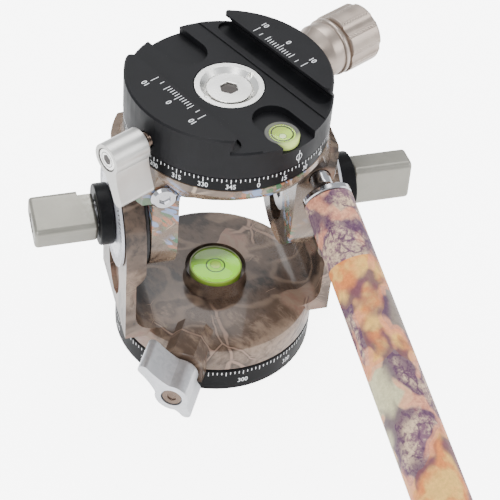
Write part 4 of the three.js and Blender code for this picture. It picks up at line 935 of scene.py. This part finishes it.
# painted shade: the radius and depth of each dark socket hexagon, and the radii of the dark rings painted as
# shaded grooves
socketShadeSpecs = {
    "centre_screw": {"radius": 2.55, "depth": 0.65, "rings": ()},
    "upper_lock_cap": {"radius": 1.5, "depth": -0.02, "rings": ((2.1, 2.3), (3.15, 3.4))},
}
ringHeights = (0.005, 0.02)


def makeSocket(node, matrix):
    # painted shade: a dark hexagon for the shaded floor of a hexagonal key socket, and thin dark rings
    # painted for the shaded grooves around it
    spec = socketShadeSpecs[node]
    high = sizeOf(node, matrix)["high"]
    bm = bmesh.new()
    bmesh.ops.create_circle(bm, cap_ends=True, segments=6, radius=spec["radius"] * mm,
                            matrix=Matrix.Translation((0, 0, (high - spec["depth"]) * mm)))
    newPiece(node + "_socket", bm, "socketShade", node, matrix)
    for i, radii in enumerate(spec["rings"]):
        heights = [high + height for height in ringHeights]
        flatRing(f"{node}_groove_shade_{i + 1}", radii, heights, "socketShade", node, matrix)


makeJawKnob(jawKnobSpec)
makeTiltKnob("left", tiltKnobSpec)
makeTiltKnob("right", tiltKnobSpec)
upperLockFrame = outwardFrame(-(clampFrame.to_3x3() @ Vector((0, 1, 0))), middleOf("upper_lock_stud"))
lowerStud = middleOf("lower_lock_stud")
lowerLockFrame = outwardFrame(middleOf("lower_lock_cap") - lowerStud, lowerStud)
makeThreadedStud("upper_lock_stud", upperLockFrame, threadSpec)
makeThreadedStud("lower_lock_stud", lowerLockFrame, threadSpec)
makeHandleNeck(handleNeckSpec)
makeSocket("centre_screw", Matrix.Identity(4))
makeSocket("upper_lock_cap", outwardFrame(outOf(upperLockFrame), middleOf("upper_lock_cap")))
print("knobs made")


# Scales and numbers
numeralSpec = {"width": 0.86, "weight": 0.009, "steps": 4}
numeralMeshes = {}


def numeralMesh(text):
    if text not in numeralMeshes:
        curve = bpy.data.curves.new("numeral", "FONT")
        curve.body = text
        curve.align_x = "CENTER"
        curve.align_y = "CENTER"
        curve.offset = numeralSpec["weight"]
        curve.resolution_u = numeralSpec["steps"]
        holder = bpy.data.objects.new("numeral", curve)
        bpy.context.scene.collection.objects.link(holder)
        bpy.context.view_layer.update()
        drawn = holder.evaluated_get(bpy.context.evaluated_depsgraph_get())
        numeralMeshes[text] = bpy.data.meshes.new_from_object(drawn)
        bpy.data.objects.remove(holder)
        bpy.data.curves.remove(curve)
    return numeralMeshes[text]


def addNumeral(bm, text, height, place):
    known = len(bm.verts)
    bm.from_mesh(numeralMesh(text))
    bm.verts.ensure_lookup_table()
    for vert in bm.verts[known:]:
        vert.co = place(vert.co.x * height * numeralSpec["width"], vert.co.y * height)


def addTick(bm, width, low, high, place):
    # a thin painted line from low to high, cut across so that it can follow a curve
    known = len(bm.verts)
    bmesh.ops.create_grid(bm, x_segments=1, y_segments=2, size=0.5)
    bm.verts.ensure_lookup_table()
    for vert in bm.verts[known:]:
        vert.co = place(vert.co.x * width, low + (vert.co.y + 0.5) * (high - low))


def aroundZ(radius, angle, middle):
    # x runs round the cylinder from the angle, y runs up from the middle
    def place(x, y):
        turn = math.radians(angle) + x / radius
        return Vector((radius * math.cos(turn), radius * math.sin(turn), middle + y)) * mm
    return place


paintLift = 0.02
# lengths are (every so many degrees, length in mm), the longest first
ringScales = {
    "clamp_scale_marks": {
        "node": "clamp_scale_ring", "topOf": "clamp_scale_ring", "zero": -87.4, "edge": 0.15, "width": 0.24,
        "step": 2.5, "lengths": ((15, 1.5), (5, 1.15), (2.5, 0.75)),
        "numeral": 2.3, "numeralDrop": 2.75, "numeralStep": 15, "first": 0,
    },
    "base_scale_marks": {
        "node": "base_ring", "topOf": "pan_thrust_washer", "zero": -116.6, "edge": 0.4, "width": 0.26,
        "step": 2.5, "lengths": ((10, 1.7), (2.5, 1.1)),
        "numeral": 2.6, "numeralDrop": 4.4, "numeralStep": 30, "first": 270,
    },
}


def makeRingScale(name, spec):
    bm = bmesh.new()
    radius = sizeOf(spec["node"])["radius"] + paintLift
    top = sizeOf(spec["topOf"])["high"] - spec["edge"]
    for i in range(int(360 / spec["step"])):
        reading = i * spec["step"]
        length = next(length for every, length in spec["lengths"] if reading % every == 0)
        addTick(bm, spec["width"], -length, 0, aroundZ(radius, spec["zero"] + reading, top))
    for reading in range(0, 360, spec["numeralStep"]):
        place = aroundZ(radius, spec["zero"] + reading, top - spec["numeralDrop"])
        addNumeral(bm, str((reading + spec["first"]) % 360), spec["numeral"], place)
    newPiece(name, bm, "whitePaint", spec["node"])


jawScale = {
    "start": 17.4, "width": 0.2, "numeral": 2.55, "numeralOut": 4.5,
    "lengths": {0: 2.8, 5: 2.35, 7.5: 1.5, 10: 2.8}, "short": 1.7,
    "readings": (-10, -7.5, -5, -4, -3, -2, -1, 0, 1, 2, 3, 4, 5, 7.5, 10), "numbered": (-10, 0, 10),
}


def makeJawScale(name, node, side, spec):
    # side +1 is the moving jaw, -1 the fixed one; numerals have their tops away from the channel
    bm = bmesh.new()
    top = sizeOf("moving_jaw")["high"]

    def placeAt(along, out):
        def place(x, y):
            point = Vector((along + side * x, side * (out + y), top + paintLift))
            return clampFrame @ (point * mm)
        return place
    for reading in spec["readings"]:
        length = spec["lengths"].get(abs(reading), spec["short"])
        addTick(bm, spec["width"], 0, length, placeAt(reading, spec["start"]))
    for reading in spec["numbered"]:
        place = placeAt(reading, spec["start"] + spec["numeralOut"])
        addNumeral(bm, str(abs(reading)), spec["numeral"], place)
    newPiece(name, bm, "whitePaint", node)


indexMark = {
    "angle": -63.5, "height": 90.6, "width": 0.22, "reach": 2.3, "radius": 1.25, "inner": 0.8, "narrow": 0.85,
    "segments": 24,
}


def makeIndexMark(spec):
    # an upright line through a small ring, on the clamp's side above the scale
    bm = bmesh.new()
    place = aroundZ(sizeOf("clamp_body")["radius"] + paintLift, spec["angle"], spec["height"])
    addTick(bm, spec["width"], -spec["reach"], spec["reach"], place)
    known = len(bm.verts)
    bmesh.ops.create_circle(bm, cap_ends=False, segments=spec["segments"], radius=spec["radius"])
    made = bmesh.ops.extrude_edge_only(bm, edges=[edge for edge in bm.edges if edge.is_wire])["geom"]
    for vert in [item for item in made if isinstance(item, bmesh.types.BMVert)]:
        vert.co *= spec["inner"]
    bm.verts.ensure_lookup_table()
    for vert in bm.verts[known:]:
        vert.co = place(vert.co.x * spec["narrow"], vert.co.y)
    newPiece("clamp_index_mark", bm, "whitePaint", "clamp_body")


dialScale = {
    "face": -33.4, "radius": 16.0, "inner": 13.4, "longInner": 12.4, "width": 0.35, "step": 5, "longStep": 15,
}


def makeDialScale(spec):
    bm = bmesh.new()

    def placeAt(turn):
        def place(across, out):
            y = out * math.cos(turn) - across * math.sin(turn)
            z = tiltHeight + out * math.sin(turn) + across * math.cos(turn)
            return Vector((spec["face"] - paintLift, y, z)) * mm
        return place
    for reading in range(0, 360, spec["step"]):
        inner = spec["longInner"] if reading % spec["longStep"] == 0 else spec["inner"]
        addTick(bm, spec["width"], inner, spec["radius"], placeAt(math.radians(reading)))
    newPiece("tilt_dial_marks", bm, "darkPaint", "tilt_dial")


for name, spec in ringScales.items():
    makeRingScale(name, spec)
makeJawScale("fixed_jaw_marks", "clamp_body", -1, jawScale)
makeJawScale("moving_jaw_marks", "moving_jaw", 1, jawScale)
makeIndexMark(indexMark)
makeDialScale(dialScale)
print("scales drawn")


# Levels: a rim, the liquid, a dome over it, a printed ring and the bubble
levelSpecs = {
    "base": {
        "frame": Matrix.Identity(4), "rim": (7.75, 8.2), "dome": 0.5, "drop": 0.9, "line": (2.65, 3.1),
        "bubble": 1.7, "offset": (0.1, 0.2), "paint": "greenPaint",
    },
    "clamp": {
        "frame": clampFrame, "rim": (3.7, 4.9), "dome": 0.15, "drop": 0.35, "line": (2.8, 3.2),
        "bubble": 1.0, "offset": (0.9, -0.6), "paint": "darkPaint",
    },
}
levelShape = {
    "rimSide": 0.25, "rimSoft": 0.2, "rimTop": 0.1, "rimFloor": 0.3, "poolFloor": 0.35, "gap": 0.02,
    "domeSteps": 9, "domeTurn": 10, "lineHeights": (0.01, 0.04), "bubbleEdge": (0.85, 1.05),
    "bubbleFlat": 0.12,
}


def makeLevel(name, spec, shape):
    cup, liquid, lens = (f"{name}_level_{part}" for part in ("cup", "liquid", "lens"))
    place = Matrix.Translation(middleOf(lens) * mm) @ spec["frame"]
    place.translation.z = 0
    high = sizeOf(lens)["high"]
    low = sizeOf(cup)["low"]
    inner, outer = spec["rim"]
    rimTop = high - shape["rimTop"]
    rim = [(outer, low), (outer, high - shape["rimSide"]), (outer - shape["rimSoft"], rimTop),
           (inner, rimTop), (inner, low + shape["rimFloor"])]
    turnedPiece(cup + "_dress", rim, name + "Rim", cup, place)
    surface = high - spec["drop"]
    inside = inner - shape["gap"]
    pool = [(inside, low + shape["poolFloor"]), (inside, surface)]
    turnedPiece(liquid + "_dress", pool, name + "Liquid", liquid, place)
    dome = [(inside, surface + shape["gap"])]
    for i in range(shape["domeSteps"]):
        angle = math.radians(i * shape["domeTurn"])
        dome.append((inside * math.cos(angle), high - spec["dome"] * (1 - math.sin(angle))))
    turnedPiece(lens + "_dress", dome, "levelLens", lens, place)
    x, y = spec["offset"]
    shifted = place @ Matrix.Translation((x * mm, y * mm, 0))
    heights = [surface + height for height in shape["lineHeights"]]
    bubbleEdge = [spec["bubble"] * share for share in shape["bubbleEdge"]]
    flatRing(name + "_level_ring", spec["line"], heights, spec["paint"], lens, place)
    flatRing(name + "_level_bubble_edge", bubbleEdge, heights, spec["paint"], lens, shifted)
    bm = bmesh.new()
    bmesh.ops.create_uvsphere(bm, u_segments=32, v_segments=16, radius=spec["bubble"])
    bmesh.ops.scale(bm, vec=(1, 1, shape["bubbleFlat"]), verts=bm.verts)
    bmesh.ops.translate(bm, vec=(0, 0, surface), verts=bm.verts)
    bmesh.ops.scale(bm, vec=(mm, mm, mm), verts=bm.verts)
    newPiece(name + "_level_bubble", bm, name + "Bubble", lens, shifted)


for name, spec in levelSpecs.items():
    makeLevel(name, spec, levelShape)
print("levels finished")


# Floor
floorSpec = {
    "size": 3, "drop": 0.3, "tones": (0.93, 0.97), "grain": (300.0, 4.0), "roughness": 0.9,
    "glow": 1.2, "shown": 5.0,
}


def makeFloor(spec):
    bm = bmesh.new()
    bmesh.ops.create_grid(bm, x_segments=1, y_segments=1, size=spec["size"])
    mesh = bpy.data.meshes.new("floor")
    bm.to_mesh(mesh)
    bm.free()
    material, tree, shader, place = startMaterial("floorPaper", Roughness=spec["roughness"])
    low, high = (colour(tone, tone, tone) for tone in spec["tones"])
    paper = mixColour(tree, noiseAt(tree, place, *spec["grain"]), low, high)
    tree.links.new(paper, shader.inputs["Base Color"])
    tree.links.new(paper, shader.inputs["Emission Color"])
    # it looks brighter than the light that it gives
    ray = addNode(tree, "ShaderNodeLightPath").outputs["Is Camera Ray"]
    seen = mathNode(tree, "MULTIPLY", ray, spec["shown"])
    tree.links.new(mathNode(tree, "ADD", seen, spec["glow"]), shader.inputs["Emission Strength"])
    mesh.materials.append(material)
    floor = bpy.data.objects.new("floor", mesh)
    floor.location = (0, 0, -spec["drop"] * mm)
    bpy.context.scene.collection.objects.link(floor)


makeFloor(floorSpec)
print("floor laid")
